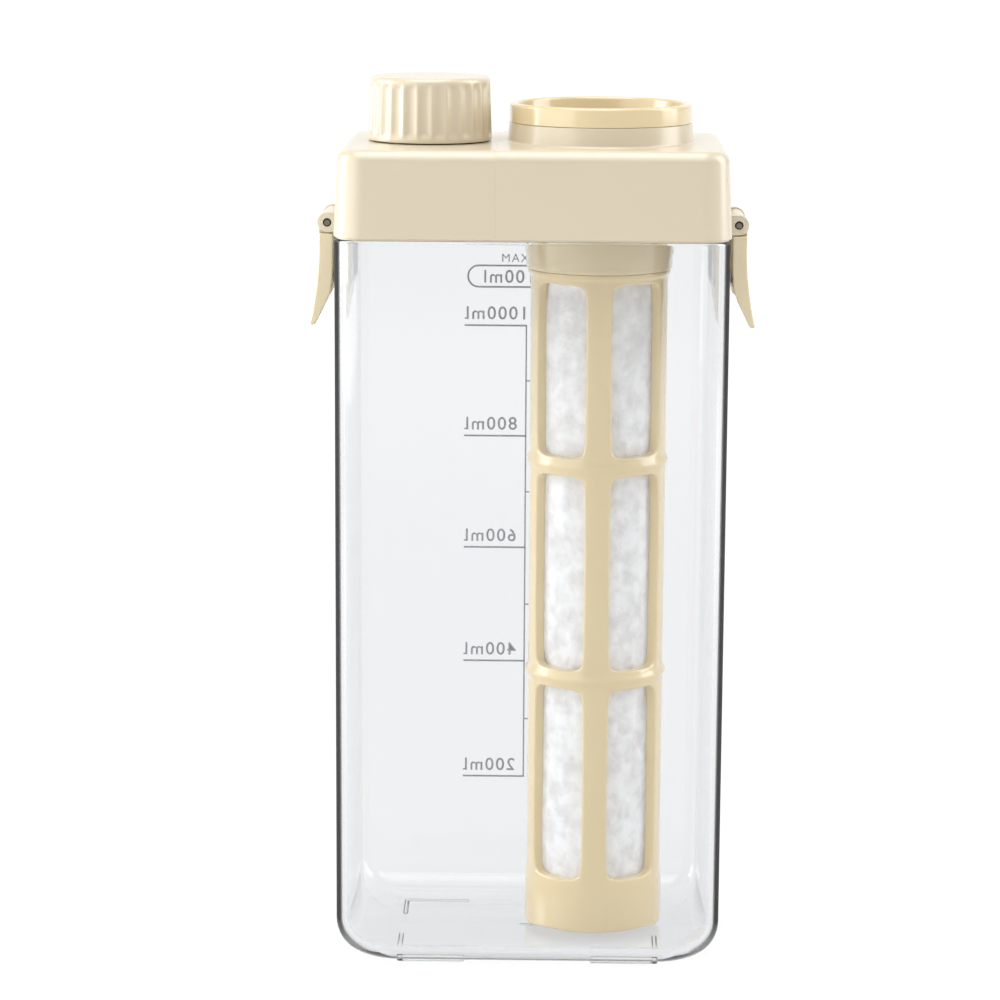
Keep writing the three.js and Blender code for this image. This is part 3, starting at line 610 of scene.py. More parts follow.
def cream_satin(name, low, high):
    """Cream ABS between two tones: a fine satin skin, as moulded, under a clear gloss."""
    material, tree = new_material(name)
    skin_grain = 0.35 * MM  # spark-eroded texture, drawn a little coarser than real so that it shows
    cloud = 60 * MM  # patches of slightly different tone and gloss
    place = add_node(tree, "TexCoord")
    clouding = add_node(tree, "TexNoise", {
        "Vector": place.outputs["Object"], "Scale": 1 / cloud, "Detail": 1.0})
    grain = add_node(tree, "TexNoise", {
        "Vector": place.outputs["Object"], "Scale": 1 / skin_grain, "Detail": 2.0})
    skin = add_node(tree, "Bump", {
        "Height": grain.outputs["Fac"], "Strength": 0.03, "Distance": 0.0002})
    tone = add_node(tree, "Mix", {
        "Factor": clouding.outputs["Fac"], "A": linear(low), "B": linear(high)}, data_type="RGBA")
    satin = add_node(tree, "MapRange", {
        "Value": clouding.outputs["Fac"], "To Min": 0.32, "To Max": 0.37})
    plastic = add_node(tree, "BsdfPrincipled", {
        "Base Color": tone.outputs["Result"], "Roughness": satin.outputs["Result"], "IOR": 1.53,
        "Coat Weight": 1.0, "Coat Roughness": 0.27, "Coat IOR": 1.55,
        "Normal": skin.outputs["Normal"]})
    add_node(tree, "OutputMaterial", {"Surface": plastic.outputs[0]})
    return material


cream_abs = cream_satin("cream_abs_satin", "#D4C8AE", "#D6CAB1")
finish_piece(liner_piece, cream_abs, "lid", ["lid_liner"])

# Gasket
# A white silicone ring with two lips, moulded in one piece and stretched into the groove of the plug,
# that seals the jar's mouth.
gasket_corner = 5.2
gasket_waist = 0.7
gasket_thickness = 1.9
lip = (gasket_high.z - gasket_low.z) / 5


def gasket_plan(inset, z):
    return gasket_high.x - inset, gasket_high.y - inset, gasket_corner - inset, z


gasket = bmesh.new()
inner = start_ring(gasket, gasket_plan(gasket_thickness, gasket_low.z))
lip_side = [(gasket_waist, 0), (0.2, 0.6), (0, 1), (0.2, 1.4), (gasket_waist, 2)]
gasket_rings = [gasket_plan(inset, gasket_low.z + lip * up) for inset, up in lip_side]
gasket_rings += [gasket_plan(inset, gasket_high.z - lip * up) for inset, up in reversed(lip_side)]
gasket_rings += [gasket_plan(gasket_thickness, z) for z in (gasket_high.z, gasket_low.z)]
ring_chain(gasket, inner, gasket_rings)
gasket_piece = solid_object("lid_gasket_ring", gasket)

# Silicone, moulded and cured: soft white, a little milky, with a dry low gloss.
white_silicone, tree = new_material("white_silicone")
BLOOM = 16 * MM
place = add_node(tree, "TexCoord")
bloom = add_node(tree, "TexNoise", {
    "Vector": place.outputs["Object"], "Scale": 1 / BLOOM, "Detail": 4.0})
milky = add_node(tree, "Mix", {
    "Factor": bloom.outputs["Fac"], "A": linear("#E9E7E0"), "B": linear("#F1F0EA")}, data_type="RGBA")
dryness = add_node(tree, "MapRange", {"Value": bloom.outputs["Fac"], "To Min": 0.5, "To Max": 0.65})
rubber = add_node(tree, "BsdfPrincipled", {
    "Base Color": milky.outputs["Result"], "Roughness": dryness.outputs["Result"], "IOR": 1.41})
add_node(tree, "OutputMaterial", {"Surface": rubber.outputs[0]})
finish_piece(gasket_piece, white_silicone, "lid", ["lid_gasket"])

# Lid covers
# Two mouldings of the same cream ABS that meet at a fine upright seam: the left one lets the spout
# through, the right one has the round neck that the filter hangs in. Each has a pair of latch ears.
seam_x = (box_mm("lid_cover_pour")[1].x + box_mm("lid_cover_brew")[0].x) / 2
seam_step = 0.14  # the right cover stands a hair proud, so its edge catches the light
lid_low_z = 195.3
lid_top_z = 218.3
lid_proud = 0.2
lid_taper = 0.95
lid_corner = 8.2
lid_edge_round = 3.2
lid_foot_z = 195.75
lid_foot_round = 0.25
foot_recess = 0.65
lid_roof = 2.4
lid_margin = 0.8
cavity_inset = 2.95
cavity_corner = 8.0
cavity_top_z = lid_top_z - lid_roof
skirt_inset = ledge - fit


def lid_plan(inset, z):
    return half_x + lid_proud - inset, half_y + lid_proud - inset, lid_corner - inset, z


def cover_shell(side, seam_round, proud):
    """One cover's shell, cut at the seam, with the loops round its roof's two faces."""
    bm = bmesh.new()
    plans = [lid_plan(foot_recess, lid_low_z), lid_plan(foot_recess, lid_foot_z)]
    top_z = lid_top_z + proud
    plans += [lid_plan(inset - proud, lid_foot_z + up) for inset, up in rounding(lid_foot_round, 3)]
    plans += [lid_plan(lid_taper - proud + inset, top_z - down)
              for down, inset in rounding(lid_edge_round, 10)]
    plans += [lid_plan(lid_taper + lid_edge_round + lid_margin, top_z)]
    cavity = (half_x - cavity_inset, half_y - cavity_inset, cavity_corner)
    skirt = (half_x - skirt_inset, half_y - skirt_inset, plan_corner - skirt_inset)
    under = start_ring(bm, (*cavity, cavity_top_z), keep_face=True)
    top = ring_chain(bm, under, [
        (*cavity, neck_root_z + neck_slope + fit), (*skirt, neck_root_z + fit),
        (*skirt, lid_low_z), *plans])
    close(bm, top)
    bmesh.ops.recalc_face_normals(bm, faces=bm.faces)
    cut = bmesh.ops.bisect_plane(
        bm, geom=bm.verts[:] + bm.edges[:] + bm.faces[:], dist=0.0001,
        plane_co=(seam_x, 0, 0), plane_no=(side, 0, 0),
        clear_inner=True)["geom_cut"]
    seam = bmesh.ops.edgeloop_fill(bm, edges=made_parts(cut, BMEdge))["faces"]
    outer_y = half_y - lid_taper - lid_edge_round
    rim = [edge for face in seam for edge in face.edges
           if all(abs(v.co.y) > outer_y and v.co.z > lid_foot_z + 0.05 or v.co.z > lid_top_z - 0.05
                  for v in edge.verts)]
    bevel(bm, rim, "EDGES", seam_round, 2)
    bmesh.ops.recalc_face_normals(bm, faces=bm.faces)
    roof = max((f for f in bm.faces if f.normal.z > 0.99), key=lambda f: f.calc_area())
    ceiling = max((f for f in bm.faces if f.normal.z < -0.99), key=lambda f: f.calc_area())
    loops = [list(roof.edges), list(ceiling.edges)]
    bmesh.ops.delete(bm, geom=[roof, ceiling], context="FACES_ONLY")
    return bm, *loops


pin_low, pin_high = box_mm("latch_pin_right")
pin_x = (pin_low.x + pin_high.x) / 2
pin_z = (pin_low.z + pin_high.z) / 2
latch_width = pin_high.y - pin_low.y
pin_radius = (pin_high.z - pin_low.z) / 2
pin_bore = pin_radius + fit
ear_radius = 2.6
ear_thickness = 2.2
ear_round = 0.35
EAR_SEGMENTS = 12
PIN_SEGMENTS = 32


def lying(place):
    """A turn that lays a circle's axis along Y, at a place."""
    return Matrix.Translation(place) @ Matrix.Rotation(math.pi / 2, 4, "X")


def drilled_plate(bm, corners, rounded, offset, hole, thickness):
    """A plate in the X-Z plane with some corners rounded and a hole, given a thickness along Y."""
    verts = [bm.verts.new(corner) for corner in corners]
    bm.faces.new(verts)
    made = bevel(bm, [verts[index] for index in rounded], "VERTICES", offset, EAR_SEGMENTS)
    face = made[0].link_faces[0]
    outline = list(face.edges)
    bmesh.ops.delete(bm, geom=[face], context="FACES_ONLY")
    place, radius = hole
    ring = bmesh.ops.create_circle(
        bm, segments=PIN_SEGMENTS, radius=radius, matrix=lying(place))["verts"]
    return thicken(bm, fill_between(bm, outline, edges_of(ring)), (0, thickness, 0))


def latch_ears(bm, side):
    """The pair of ears that hold one latch pin."""
    root_x = side * (half_x - lid_proud)
    clear_x = side * (half_x + fit)
    tip_x = side * (pin_x + ear_radius)
    for y in (-latch_width / 2, latch_width / 2 - ear_thickness):
        corners = [
            (root_x, y, pin_z + ear_radius), (root_x, y, lid_low_z), (clear_x, y, lid_low_z),
            (clear_x, y, pin_z - ear_radius), (tip_x, y, pin_z - ear_radius),
            (tip_x, y, pin_z + ear_radius)]
        ear = drilled_plate(
            bm, corners, (4, 5), ear_radius - 0.01, ((side * pin_x, y, pin_z), pin_bore), ear_thickness)
        soften(bm, ear, ear_round, 2, 0.9)


pour_cover, roof_loop, ceiling_loop = cover_shell(-1, seam_round=0.02, proud=0)
spout_hole = start_circle(pour_cover, spout_radius + fit, spout_x, lid_top_z)
hole_end = circle_chain(pour_cover, spout_hole, [(spout_radius + fit, cavity_top_z)])
fill_between(pour_cover, roof_loop, spout_hole[0])
fill_between(pour_cover, ceiling_loop, hole_end[0])
latch_ears(pour_cover, -1)
finish_piece(solid_object("lid_cover_left", pour_cover), cream_abs, "lid",
             ["lid_cover_pour"])

neck_radius = 24.5
neck_lean = 0.4
neck_flare = 0.6
neck_lip = 0.15
neck_bore = 22.6
neck_seat_z = 223.5
brew_cover, roof_loop, ceiling_loop = cover_shell(1, seam_round=0.13, proud=seam_step)
neck_foot = start_circle(brew_cover, neck_radius + neck_flare + 0.2, brew_x, lid_top_z + seam_step)
neck_steps = [(neck_radius + out, lid_top_z + seam_step + up) for out, up in rounding(neck_flare, 4)]
neck_end_radius = neck_radius - neck_lean
neck_steps += [
    (neck_end_radius, neck_seat_z - neck_lip), (neck_end_radius - neck_lip, neck_seat_z),
    (neck_bore, neck_seat_z), (neck_bore, cavity_top_z)]
neck_end = circle_chain(brew_cover, neck_foot, neck_steps)
fill_between(brew_cover, roof_loop, neck_foot[0])
fill_between(brew_cover, ceiling_loop, neck_end[0])
latch_ears(brew_cover, 1)
finish_piece(solid_object("lid_cover_right", brew_cover), cream_abs, "lid",
             ["lid_cover_brew"])

# Latch pins
# Plain drawn steel wire, cut to length, slightly rounded at the ends and pressed through the ears and
# the lever's barrel.
drawn_steel, tree = new_material("drawn_steel")
DRAW_LINE = 0.25 * MM  # lines that the die leaves along the wire
DRAW_LENGTH = 7 * MM
across = 1 / DRAW_LINE
place = add_node(tree, "TexCoord")
stretched = add_node(tree, "Mapping", {
    "Vector": place.outputs["Object"], "Scale": (across, 1 / DRAW_LENGTH, across)})
draw_lines = add_node(tree, "TexNoise", {
    "Vector": stretched.outputs[0], "Scale": 1.0, "Detail": 2.0})
streaks = add_node(tree, "Mix", {
    "Factor": draw_lines.outputs["Fac"], "A": linear("#7D766A"), "B": linear("#938C80")},
    data_type="RGBA")
scuffing = add_node(tree, "MapRange", {
    "Value": draw_lines.outputs["Fac"], "To Min": 0.25, "To Max": 0.45})
steel = add_node(tree, "BsdfPrincipled", {
    "Base Color": streaks.outputs["Result"], "Metallic": 1.0, "Roughness": scuffing.outputs["Result"]})
add_node(tree, "OutputMaterial", {"Surface": steel.outputs[0]})
pin_chamfer = 0.15
for side, node in ((-1, "latch_pin_left"), (1, "latch_pin_right")):
    pin = bmesh.new()
    ends = bmesh.ops.create_cone(
        pin, cap_ends=True, cap_tris=False, segments=PIN_SEGMENTS, radius1=pin_radius,
        radius2=pin_radius, depth=latch_width, matrix=lying((side * pin_x, 0, pin_z)))["verts"]
    soften(pin, ends, pin_chamfer, 2, 1.0)
    finish_piece(solid_object(node + "_wire", pin), drawn_steel, "lid", [node])

# Latch levers
# Curved levers in cream ABS that turn on the pins: a plate with a wall along each side, a barrel
# between the ears, and a hook that draws up under the jar's catch. The free end curves out.
lever_out = 2.25
lever_top = 2.9
lever_bend = 16.0
lever_bend_round = 8.5
lever_length = 27.05
lever_tip_out = 4.75
lever_tip_in = 3.35
lever_tip_round = 0.65
wall_in = -1.45
wall_ease = 0.5
wall_straight = 12.5
wall_ease_round = 2.5
wall_thickness = 2.0
hook_top = 16.2
hook_low = 18.4
hook_tip = half_x + 1.3 - pin_x
hook_margin = 1.0
lever_round = 0.4
inner_round = 0.25
barrel_radius = 2.3
plate_in = 0.65
hook_root = plate_in + 0.5
hook_slope = 0.8
web_low = 4.4
# A little yellower than the lid's cream and set lighter: the lighter tone is painted light for the
# levers.
brightened_lever_cream = cream_satin("cream_abs_lever_brightened", "#DECEA9", "#E1D2AF")
for side, node, body in ((-1, "latch_left", "left_lever"), (1, "latch_right", "right_lever")):
    lever = bmesh.new()
    near_y = -latch_width / 2
    side_view = [
        (lever_out, -lever_top), (wall_in, -lever_top), (wall_in, -wall_straight),
        (wall_in + wall_ease, -hook_low), (lever_tip_in, -lever_length),
        (lever_tip_out, -lever_length), (lever_out, -lever_bend)]
    verts = [lever.verts.new((x, near_y, z)) for x, z in side_view]
    lever.faces.new(verts)
    for corner, offset, segments in (
            (6, lever_bend_round, 10), (5, lever_tip_round, 4), (4, lever_tip_round, 4),
            (2, wall_ease_round, 4), (3, wall_ease_round, 4)):
        bevel(lever, [verts[corner]], "VERTICES", offset, segments)
    soften(lever, thicken(lever, lever.faces[:], (0, latch_width, 0)), lever_round, 3, 0.9)
    lever_piece = solid_object(node + "_lever", lever)
    hollow = bmesh.new()
    inner_y = near_y + wall_thickness
    open_box = [(x, inner_y, z) for x, z in (
        (plate_in, 1), (-lever_top, 1), (-lever_top, -lever_length - 1), (plate_in, -lever_length - 1))]
    extruded(hollow, open_box, (0, latch_width - 2 * wall_thickness, 0))
    fuse(lever_piece, solid_object("hollow", hollow), "DIFFERENCE")
    fittings = bmesh.new()
    hook_y = near_y + hook_margin
    hook = [(x, hook_y, z) for x, z in (
        (hook_root, -hook_top), (hook_tip, -hook_top), (hook_tip, hook_slope - hook_low),
        (hook_tip + hook_slope, -hook_low), (hook_root, -hook_low))]
    soften(fittings, extruded(fittings, hook, (0, latch_width - 2 * hook_margin, 0)), inner_round, 2)
    barrel_y = near_y + ear_thickness + fit
    barrel = [(x, barrel_y, z) for x, z in (
        (lever_out, barrel_radius), (-barrel_radius, barrel_radius), (-barrel_radius, -barrel_radius),
        (plate_in - 0.3, -web_low), (lever_out - lever_round, -web_low), (lever_out, -lever_top))]
    drilled_plate(
        fittings, barrel, (0, 1, 2), barrel_radius - 0.05, ((0, barrel_y, 0), pin_bore),
        latch_width - 2 * (ear_thickness + fit))
    fuse(lever_piece, solid_object("fittings", fittings), "UNION")
    turned = Matrix.Rotation(math.pi if side < 0 else 0, 4, "Z")
    lever_piece.data.transform(Matrix.Translation(Vector((side * pin_x, 0, pin_z)) * MM) @ turned)
    finish_piece(lever_piece, brightened_lever_cream, body, [node])

# Filter mesh
# A sleeve of fine white nylon mesh, set into the cage as it is moulded. It is a little slack, so it
# lies in soft shallow creases between the ribs.
mesh_low, mesh_high = box_mm("filter_mesh")
mesh_set_in = 0.75  # how far the mesh is sunk into the ribs
mesh_radius = (mesh_high.x - mesh_low.x) / 2 + mesh_set_in
mesh_thickness = 0.3
mesh_slack = 0.9
mesh_rows = 110
mesh_columns = 160
RIBS = 5  # of the cage that holds the mesh tight
fold_scale = Vector((0.2, 0.2, 0.09))  # per millimetre, so folds are 5 mm wide and 11 mm long
crease_scale = Vector((0.33, 0.33, 0.2))
crease_start = Vector((0, 0, 40))
sleeve = bmesh.new()
hem = start_circle(sleeve, mesh_radius, 0, mesh_low.z, mesh_columns)
row_height = (mesh_high.z - mesh_low.z) / mesh_rows
circle_chain(sleeve, hem, [
    (mesh_radius, mesh_low.z + row * row_height) for row in range(1, mesh_rows + 1)])
for vert in sleeve.verts:
    fold = noise.noise(vert.co * fold_scale)
    crease = abs(noise.noise(vert.co * crease_scale + crease_start))
    between = abs(math.sin(RIBS / 2 * (math.atan2(vert.co.y, vert.co.x) + math.pi / 2)))
    inward = 1 - mesh_slack * between * (0.4 + 0.5 * fold + 0.6 * crease) / mesh_radius
    vert.co.x *= inward
    vert.co.y *= inward
bmesh.ops.recalc_face_normals(sleeve, faces=sleeve.faces)
bmesh.ops.solidify(sleeve, geom=sleeve.faces[:], thickness=mesh_thickness)
bmesh.ops.translate(sleeve, vec=(brew_x, 0, 0), verts=sleeve.verts)
sleeve_piece = solid_object("filter_sleeve", sleeve)

# Nylon monofilament, woven too fine to show its threads: white and matt. Its colour is painted
# darker in the hollows of its bumped folds: painted shade.
nylon_mesh, tree = new_material("nylon_mesh")
CRUMPLE = 4.5 * MM
place = add_node(tree, "TexCoord")
crumple = add_node(tree, "TexNoise", {
    "Vector": place.outputs["Object"], "Scale": 1 / CRUMPLE, "Detail": 4.0, "Roughness": 0.55})
hollow_shade = add_node(tree, "MapRange", {
    "Value": crumple.outputs["Fac"], "From Min": 0.35, "From Max": 0.6})
folds = add_node(tree, "Bump", {"Height": crumple.outputs["Fac"], "Strength": 0.5, "Distance": 0.0015})
# Painted shade: the white goes darker where the bump's folds lie low.
painted_hollow_shade = add_node(tree, "Mix", {
    "Factor": hollow_shade.outputs["Result"], "A": linear("#DDDBDA"), "B": linear("#F0F0F0")}, data_type="RGBA")
nylon = add_node(tree, "BsdfPrincipled", {
    "Base Color": painted_hollow_shade.outputs["Result"], "Roughness": 0.75, "Normal": folds.outputs["Normal"]})
add_node(tree, "OutputMaterial", {"Surface": nylon.outputs[0]})
finish_piece(sleeve_piece, nylon_mesh, "filter", ["filter_mesh"])

# Filter cage
# The lower part of the infuser, five ribs and two rings over a closed cup, in one glossy cream
# moulding. The edges of its windows are well rounded, and a spigot at the top goes into the funnel.
RIB_COLUMNS = 4
WINDOW_COLUMNS = 5
PITCH_COLUMNS = RIB_COLUMNS + WINDOW_COLUMNS
cage_columns = RIBS * PITCH_COLUMNS
rib_width = 6.8
edge_round = 1.1
cage_low, cage_high = box_mm("filter_frame")
cup_z = cage_low.z
cup_radius = 18.8
cup_round = 1.0
cup_floor = 2.2
cup_core = 5.0
cage_radius = 18.4
cage_bore = 15.5
ring_bulge = 0.9
step_radius = 19.0
step_top_z = 185.0
spigot_radius = 17.3
spigot_top_z = cage_high.z
window_rows = [(21.4, 73.97), (78.97, 131.5), (136.5, 182.2)]
corner_step = 2.8
corner_cut = 0.7  # how far a window's corner is drawn in


def row_heights(low, high):
    """Heights of the loops up one row of windows, with one more beyond each end."""
    return [low - edge_round, low, low + corner_step, (low + high) / 2, high - corner_step, high,
            high + edge_round]


cage = bmesh.new()
foot = start_circle(cage, cup_core, brew_x, cup_z, cage_columns)
close(cage, foot)
outside = [(cup_radius - cup_round - 1.5, cup_z)]
outside += [(cup_radius - inset, cup_z + up) for inset, up in rounding(cup_round, 3)]
outside += [(cup_radius, cup_z + cup_round + 2), (cup_radius, window_rows[0][0] - 3 * edge_round)]
for row, (low, high) in enumerate(window_rows):
    outside += [(cage_radius, z) for z in row_heights(low, high)]
    if row + 1 < len(window_rows):
        outside += [(cage_radius + ring_bulge, (high + window_rows[row + 1][0]) / 2)]
outside += [
    (step_radius, step_top_z - 1.0), (step_radius, step_top_z - 0.15),
    (step_radius - 0.03, step_top_z - 0.03), (step_radius - 0.15, step_top_z),
    (spigot_radius + 0.2, step_top_z), (spigot_radius, step_top_z + 0.3),
    (spigot_radius, spigot_top_z - 1.4), (spigot_radius - 0.9, spigot_top_z),
    (cage_bore + 0.3, spigot_top_z)]
inside = [(cage_bore, spigot_top_z - 0.4), (cage_bore, step_top_z)]
for low, high in reversed(window_rows):
    inside += [(cage_bore, z) for z in reversed(row_heights(low, high))]
inside += [(cage_bore, cup_z + cup_floor + 3.0), (cage_bore - 0.6, cup_z + cup_floor + 0.6),
           (cage_bore - 3.0, cup_z + cup_floor), (cup_core, cup_z + cup_floor)]
close(cage, circle_chain(cage, foot, outside + inside))


def turn_of(point):
    """How far round the cage a point is, in turns from the front."""
    return (math.atan2(point.y, point.x - brew_x) + math.pi / 2) / (2 * math.pi) % 1


def row_of(point):
    rows = [row for row, (low, high) in enumerate(window_rows) if low - 0.1 < point.z < high + 0.1]
    return rows[0] if rows else None


def in_window(face):
    middle = face.calc_center_median()
    column = int(turn_of(middle) * cage_columns) % PITCH_COLUMNS
    beside_rib = RIB_COLUMNS // 2
    return row_of(middle) is not None and beside_rib <= column < beside_rib + WINDOW_COLUMNS


bmesh.ops.delete(cage, geom=[f for f in cage.faces if in_window(f)], context="FACES")
windows = {}
for edge in cage.edges:
    if edge.is_boundary:
        middle = (edge.verts[0].co + edge.verts[1].co) / 2
        windows.setdefault((int(turn_of(middle) * RIBS), row_of(middle)), []).append(edge)
for edges in windows.values():
    frame_edges = bmesh.ops.bridge_loops(cage, edges=edges)["edges"]
    bmesh.ops.subdivide_edges(cage, edges=frame_edges, cuts=2, use_grid_fill=True)
rib_turn = rib_width / 2 / cage_radius
edge_turn = edge_round / cage_radius
pitch_turn = 2 * math.pi / RIBS
window_turn = (pitch_turn - 2 * rib_turn) / WINDOW_COLUMNS
column_turns = [0, rib_turn - edge_turn, rib_turn]
column_turns += [rib_turn + window_turn * step for step in range(1, WINDOW_COLUMNS)]
column_turns += [pitch_turn - rib_turn, pitch_turn - rib_turn + edge_turn]
window_edges = {RIB_COLUMNS // 2: 1, RIB_COLUMNS // 2 + WINDOW_COLUMNS: -1}
for vert in cage.verts:
    column = round(turn_of(vert.co) * cage_columns) % cage_columns
    pitch, step = divmod(column, PITCH_COLUMNS)
    turn = pitch * pitch_turn + column_turns[step] - math.pi / 2
    radius = math.hypot(vert.co.x - brew_x, vert.co.y)
    if step in window_edges:
        for low, high in window_rows:
            end = min((low, high), key=lambda z: abs(z - vert.co.z))
            if abs(end - vert.co.z) < 0.01:
                turn += window_edges[step] * corner_cut / cage_radius
                vert.co.z += corner_cut if end == low else -corner_cut
                break
    vert.co.x = brew_x + radius * math.cos(turn)
    vert.co.y = radius * math.sin(turn)
cage_piece = solid_object("filter_cage", cage)
moulded = cage_piece.modifiers.new("moulded_rounding", "SUBSURF")
moulded.levels = 2
moulded.render_levels = 2


def cream_gloss(name, low, high, haze):
    """Cream polypropylene from a polished tool, between two tones, with a wetter gloss than the lid."""
    material, tree = new_material(name)
    flow_length = 28 * MM
    place = add_node(tree, "TexCoord")
    flow = add_node(tree, "TexNoise", {
        "Vector": place.outputs["Object"], "Scale": 1 / flow_length, "Detail": 2.0})
    tone = add_node(tree, "Mix", {
        "Factor": flow.outputs["Fac"], "A": linear(low), "B": linear(high)}, data_type="RGBA")
    polish = add_node(tree, "MapRange", {"Value": flow.outputs["Fac"], "To Min": 0.16, "To Max": 0.22})
    plastic = add_node(tree, "BsdfPrincipled", {
        "Base Color": tone.outputs["Result"], "Roughness": polish.outputs["Result"], "IOR": 1.49,
        "Coat Weight": 0.9, "Coat Roughness": haze})
    add_node(tree, "OutputMaterial", {"Surface": plastic.outputs[0]})
    return material


cage_cream = cream_gloss("cream_pp_cage", "#DFC894", "#E4CF9F", 0.06)
finish_piece(cage_piece, cage_cream, "filter", ["filter_frame"], sharp=180)

# Filter funnel
# The upper part of the infuser in the same glossy cream: a rim that rests on the lid's neck, a sleeve,
# a short cone and the collar that is pushed over the cage's spigot and welded to it.
collar_radius = 19.7
collar_bore = 17.6
collar_low_z = step_top_z + 0.05
collar_bead = [(0.3, 2.6), (0.4, 1.4), (0.35, 0.6), (0.2, 0.15), (-0.1, 0)]
cone_low_z = 207.2
cone_top_z = 219.2
sleeve_radius = 22.3
sleeve_bore = 20.2
rim_radius = funnel_high.x - brew_x
rim_bore = 22.0
rim_low_z = 223.57
rim_top_z = funnel_high.z
rim_round = 0.9
funnel = bmesh.new()
mouth = start_circle(funnel, rim_bore, brew_x, rim_top_z - rim_round)
rim_edge = rounding(rim_round, 5)
funnel_steps = [(rim_bore + out, rim_top_z - down) for down, out in rim_edge[1:]]
funnel_steps += [(rim_radius - inset, rim_top_z - down) for inset, down in rim_edge]
funnel_steps += [
    (rim_radius, rim_low_z + 0.2), (rim_radius - 0.05, rim_low_z + 0.05), (rim_radius - 0.2, rim_low_z),
    (sleeve_radius, rim_low_z), (sleeve_radius, cone_top_z), (collar_radius, cone_low_z),
    (collar_radius, collar_low_z + 4.6),
    *((step_radius + out, collar_low_z + up) for out, up in collar_bead),
    (collar_bore + 0.3, collar_low_z), (collar_bore, collar_low_z + 0.3),
    (collar_bore, cone_low_z), (sleeve_bore, cone_top_z), (rim_bore, rim_top_z - rim_round)]
circle_chain(funnel, mouth, funnel_steps)
funnel_piece = solid_object("filter_funnel_moulding", funnel)
funnel_cream = cream_gloss("cream_pp_funnel", "#DCC99E", "#E0CEA6", 0.15)
finish_piece(funnel_piece, funnel_cream, "filter", ["filter_funnel"])

# Cap seal
# A loose disc of white silicone, stamped from sheet, that lies under the cap's roof and closes the
# spout. It rises with the cap and doesn't turn.
seal_low, seal_high = box_mm("cap_liner")
seal_radius = (seal_high.x - seal_low.x) / 2
seal_round = 0.3
seal = bmesh.new()
seal_foot = start_circle(seal, seal_radius - seal_round, spout_x, seal_low.z)
close(seal, seal_foot)
close(seal, circle_chain(seal, seal_foot, [
    (seal_radius, seal_low.z + seal_round), (seal_radius, seal_high.z - seal_round),
    (seal_radius - seal_round, seal_high.z)]))
seal_piece = solid_object("cap_seal_disc", seal)
finish_piece(seal_piece, white_silicone, "cap_seal", ["cap_liner"])

# Pour cap
# A screw cap moulded in the lid's cream ABS: a round cup with finger flutes all round, a plain band at
# its foot and two ridges of thread inside, which hold it on the spout.
FLUTES = 26
FLUTE_SEGMENTS = 12
cap_radius = (cap_high.x - cap_low.x) / 2
cap_z = cap_low.z
cap_top_z = cap_high.z
cap_lean = 0.5
cap_bore = 14.0
cap_roof = 2.4
cap_round = 1.4
flute_depth = 0.6
flute_share = 0.44  # half of a flute's width, in pitches
flute_phase = -0.2
flute_low_z = cap_z + 1.5
flute_high_z = cap_top_z - 1.7
flute_end = 1.6
cap_core = 2.0
cap = bmesh.new()
crown = start_circle(cap, cap_core, spout_x, cap_top_z, FLUTES * FLUTE_SEGMENTS)
close(cap, crown)
top_radius = cap_radius - cap_lean
cap_steps = [(9.0, cap_top_z), (top_radius - cap_round - 0.6, cap_top_z)]
cap_steps += [(top_radius - inset, cap_top_z - down) for inset, down in rounding(cap_round, 8)]
wall_top_z = cap_top_z - cap_round
wall_rows = 24
for row in range(1, wall_rows + 1):
    share = row / wall_rows
    cap_steps += [(top_radius + cap_lean * share, wall_top_z + (cap_z + 0.5 - wall_top_z) * share)]
roof_z = cap_top_z - cap_roof
cap_steps += [(cap_radius - 0.1, cap_z + 0.1), (cap_radius - 0.35, cap_z), (cap_bore + 0.4, cap_z),
              (cap_bore, cap_z + 0.4), (cap_bore, roof_z), (cap_core, roof_z)]
close(cap, circle_chain(cap, crown, cap_steps))
for vert in cap.verts:
    x = vert.co.x - spout_x
    radius = math.hypot(x, vert.co.y)
    if radius < cap_bore + 0.6 or not flute_low_z < vert.co.z < flute_high_z:
        continue
    turn = math.atan2(vert.co.y, x) + math.pi / 2
    phase = (turn / (2 * math.pi) * FLUTES - flute_phase + 0.5) % 1 - 0.5
    across = max(0.0, 1 - (phase / flute_share) ** 2)
    rise = min(1.0, (vert.co.z - flute_low_z) / flute_end, (flute_high_z - vert.co.z) / flute_end)
    along = math.sqrt(1 - (1 - rise) ** 2)
    share = 1 - flute_depth * across * along / radius
    vert.co.x = spout_x + x * share
    vert.co.y *= share
cap_thread_height = -0.4
cap_thread_z = thread_z + 1.0
thread(cap, cap_bore, cap_thread_height, (cap_thread_z, cap_thread_z + THREAD_LEAD / 4))
cap_piece = solid_object("pour_cap_fluted", cap)
finish_piece(cap_piece, cream_abs, "cap", ["pour_cap"], sharp=50)

# Table
# A plain pale table top that carries the pitcher's soft shadow and otherwise runs out to white.
table_half = 6000.0
table = bmesh.new()
bmesh.ops.create_grid(table, x_segments=1, y_segments=1, size=table_half)
bmesh.ops.translate(table, vec=(0, 0, -0.05), verts=table.verts)
table_top = solid_object("table_top", table)
white_laminate, tree = new_material("white_laminate")
path = add_node(tree, "LightPath")
seen = path.outputs["Is Camera Ray"]
for ray in ("Is Transmission Ray", "Is Glossy Ray"):
    seen = add_node(tree, "Math", {0: seen, 1: path.outputs[ray]}, operation="MAXIMUM").outputs[0]
place = add_node(tree, "TexCoord")
away = add_node(tree, "VectorMath", {0: place.outputs["Object"]}, operation="LENGTH")
run_out = add_node(tree, "MapRange", {
    "Value": away.outputs["Value"], "From Min": 0.1, "From Max": 1.2, "To Min": 0.78, "To Max": 0.96},
    interpolation_type="SMOOTHSTEP")
paleness = add_node(tree, "MapRange", {"Value": seen, "To Min": 0.9, "To Max": 0.22})
paper = add_node(tree, "BsdfDiffuse", {"Color": paleness.outputs["Result"]})
white_share = add_node(tree, "Math", {0: seen, 1: run_out.outputs["Result"]}, operation="MULTIPLY")
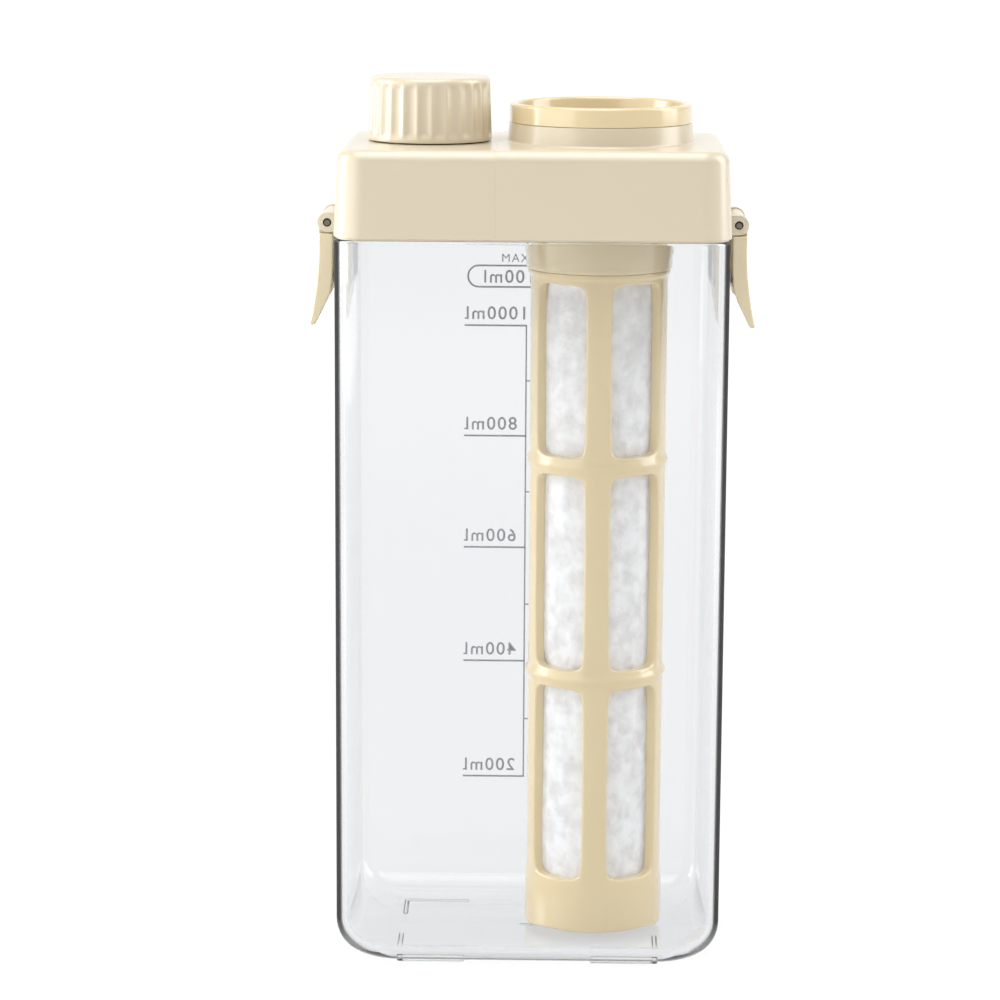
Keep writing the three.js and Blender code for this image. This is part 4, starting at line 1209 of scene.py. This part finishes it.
glow = add_node(tree, "Emission", {"Color": linear("#FFFFFF"), "Strength": white_share.outputs[0]})
laminate = add_node(tree, "AddShader", {0: paper.outputs[0], 1: glow.outputs[0]})
add_node(tree, "OutputMaterial", {"Surface": laminate.outputs[0]})
table_top.data.materials.append(white_laminate)

# Studio
# Soft boxes at the left, above, in front and at the right, and a narrow one for the left edges, in
# a white room with an even fill. What gloss mirrors of the room is darker at the front.
room = bpy.data.worlds.new("white_room")
bpy.context.scene.world = room
room.use_nodes = True
tree = room.node_tree
tree.nodes.clear()
toward = add_node(tree, "SeparateXYZ", {
    "Vector": add_node(tree, "TexCoord").outputs["Generated"]})
mirrored = add_node(tree, "MapRange", {
    "Value": toward.outputs["Y"], "From Min": 0.4, "From Max": 0.97, "To Min": 0.08, "To Max": 1.0},
    interpolation_type="SMOOTHSTEP")
path = add_node(tree, "LightPath")
fill = add_node(tree, "MapRange", {
    "Value": path.outputs["Is Glossy Ray"], "To Min": 0.42, "To Max": mirrored.outputs["Result"]})
seen = add_node(tree, "Math", {
    0: path.outputs["Is Camera Ray"], 1: path.outputs["Is Transmission Ray"]}, operation="MAXIMUM")
strength = add_node(tree, "MapRange", {
    "Value": seen.outputs[0], "To Min": fill.outputs["Result"], "To Max": 1.0})
walls = add_node(tree, "Background", {
    "Color": linear("#FFFFFF"), "Strength": strength.outputs["Result"]})
add_node(tree, "OutputWorld", {"Surface": walls.outputs[0]})


def soft_box(name, place, width, height, watts):
    """A soft box at a place in metres, turned to the pitcher's middle."""
    lamp = bpy.data.lights.new(name, "AREA")
    lamp.shape = "RECTANGLE"
    lamp.size = width
    lamp.size_y = height
    lamp.energy = watts
    lamp_object = new_object(name, lamp)
    lamp_object.location = place
    middle = (Vector(cad_box[0]) + Vector(cad_box[1])) / 2
    lamp_object.rotation_euler = (middle - Vector(place)).to_track_quat("-Z", "Y").to_euler()


soft_box("left_soft_box", (-0.87, -0.28, 0.35), 1.65, 0.8, 5.6)
soft_box("left_strip_box", (-0.6, 0.06, 0.32), 0.22, 0.45, 1.5)
soft_box("overhead_soft_box", (-0.05, 0.0, 1.2), 0.7, 0.7, 4.5)
soft_box("front_soft_box", (-0.1, -0.45, 1.0), 0.9, 0.8, 4.2)
soft_box("right_soft_box", (0.85, 0.08, 0.55), 0.5, 0.9, 5.2)

# Camera
# A long lens a little above the lid, square on to the front.
camera = bpy.data.cameras.new("camera")
camera.lens = 122.63
camera_object = new_object("camera", camera)
camera_place = Vector((0.00837, -0.900, 0.29069))
camera_aim = Vector((-0.008415, 0.0, 0.121919))
camera_roll = math.radians(0.328)
camera_object.location = camera_place
camera_object.rotation_mode = "QUATERNION"
level = (camera_aim - camera_place).to_track_quat("-Z", "Y")
camera_object.rotation_quaternion = level @ Quaternion((0, 0, 1), camera_roll)
scene = bpy.context.scene
scene.camera = camera_object
scene.view_settings.view_transform = "Standard"
scene.cycles.max_bounces = 24
scene.cycles.transmission_bounces = 20
scene.cycles.transparent_max_bounces = 24
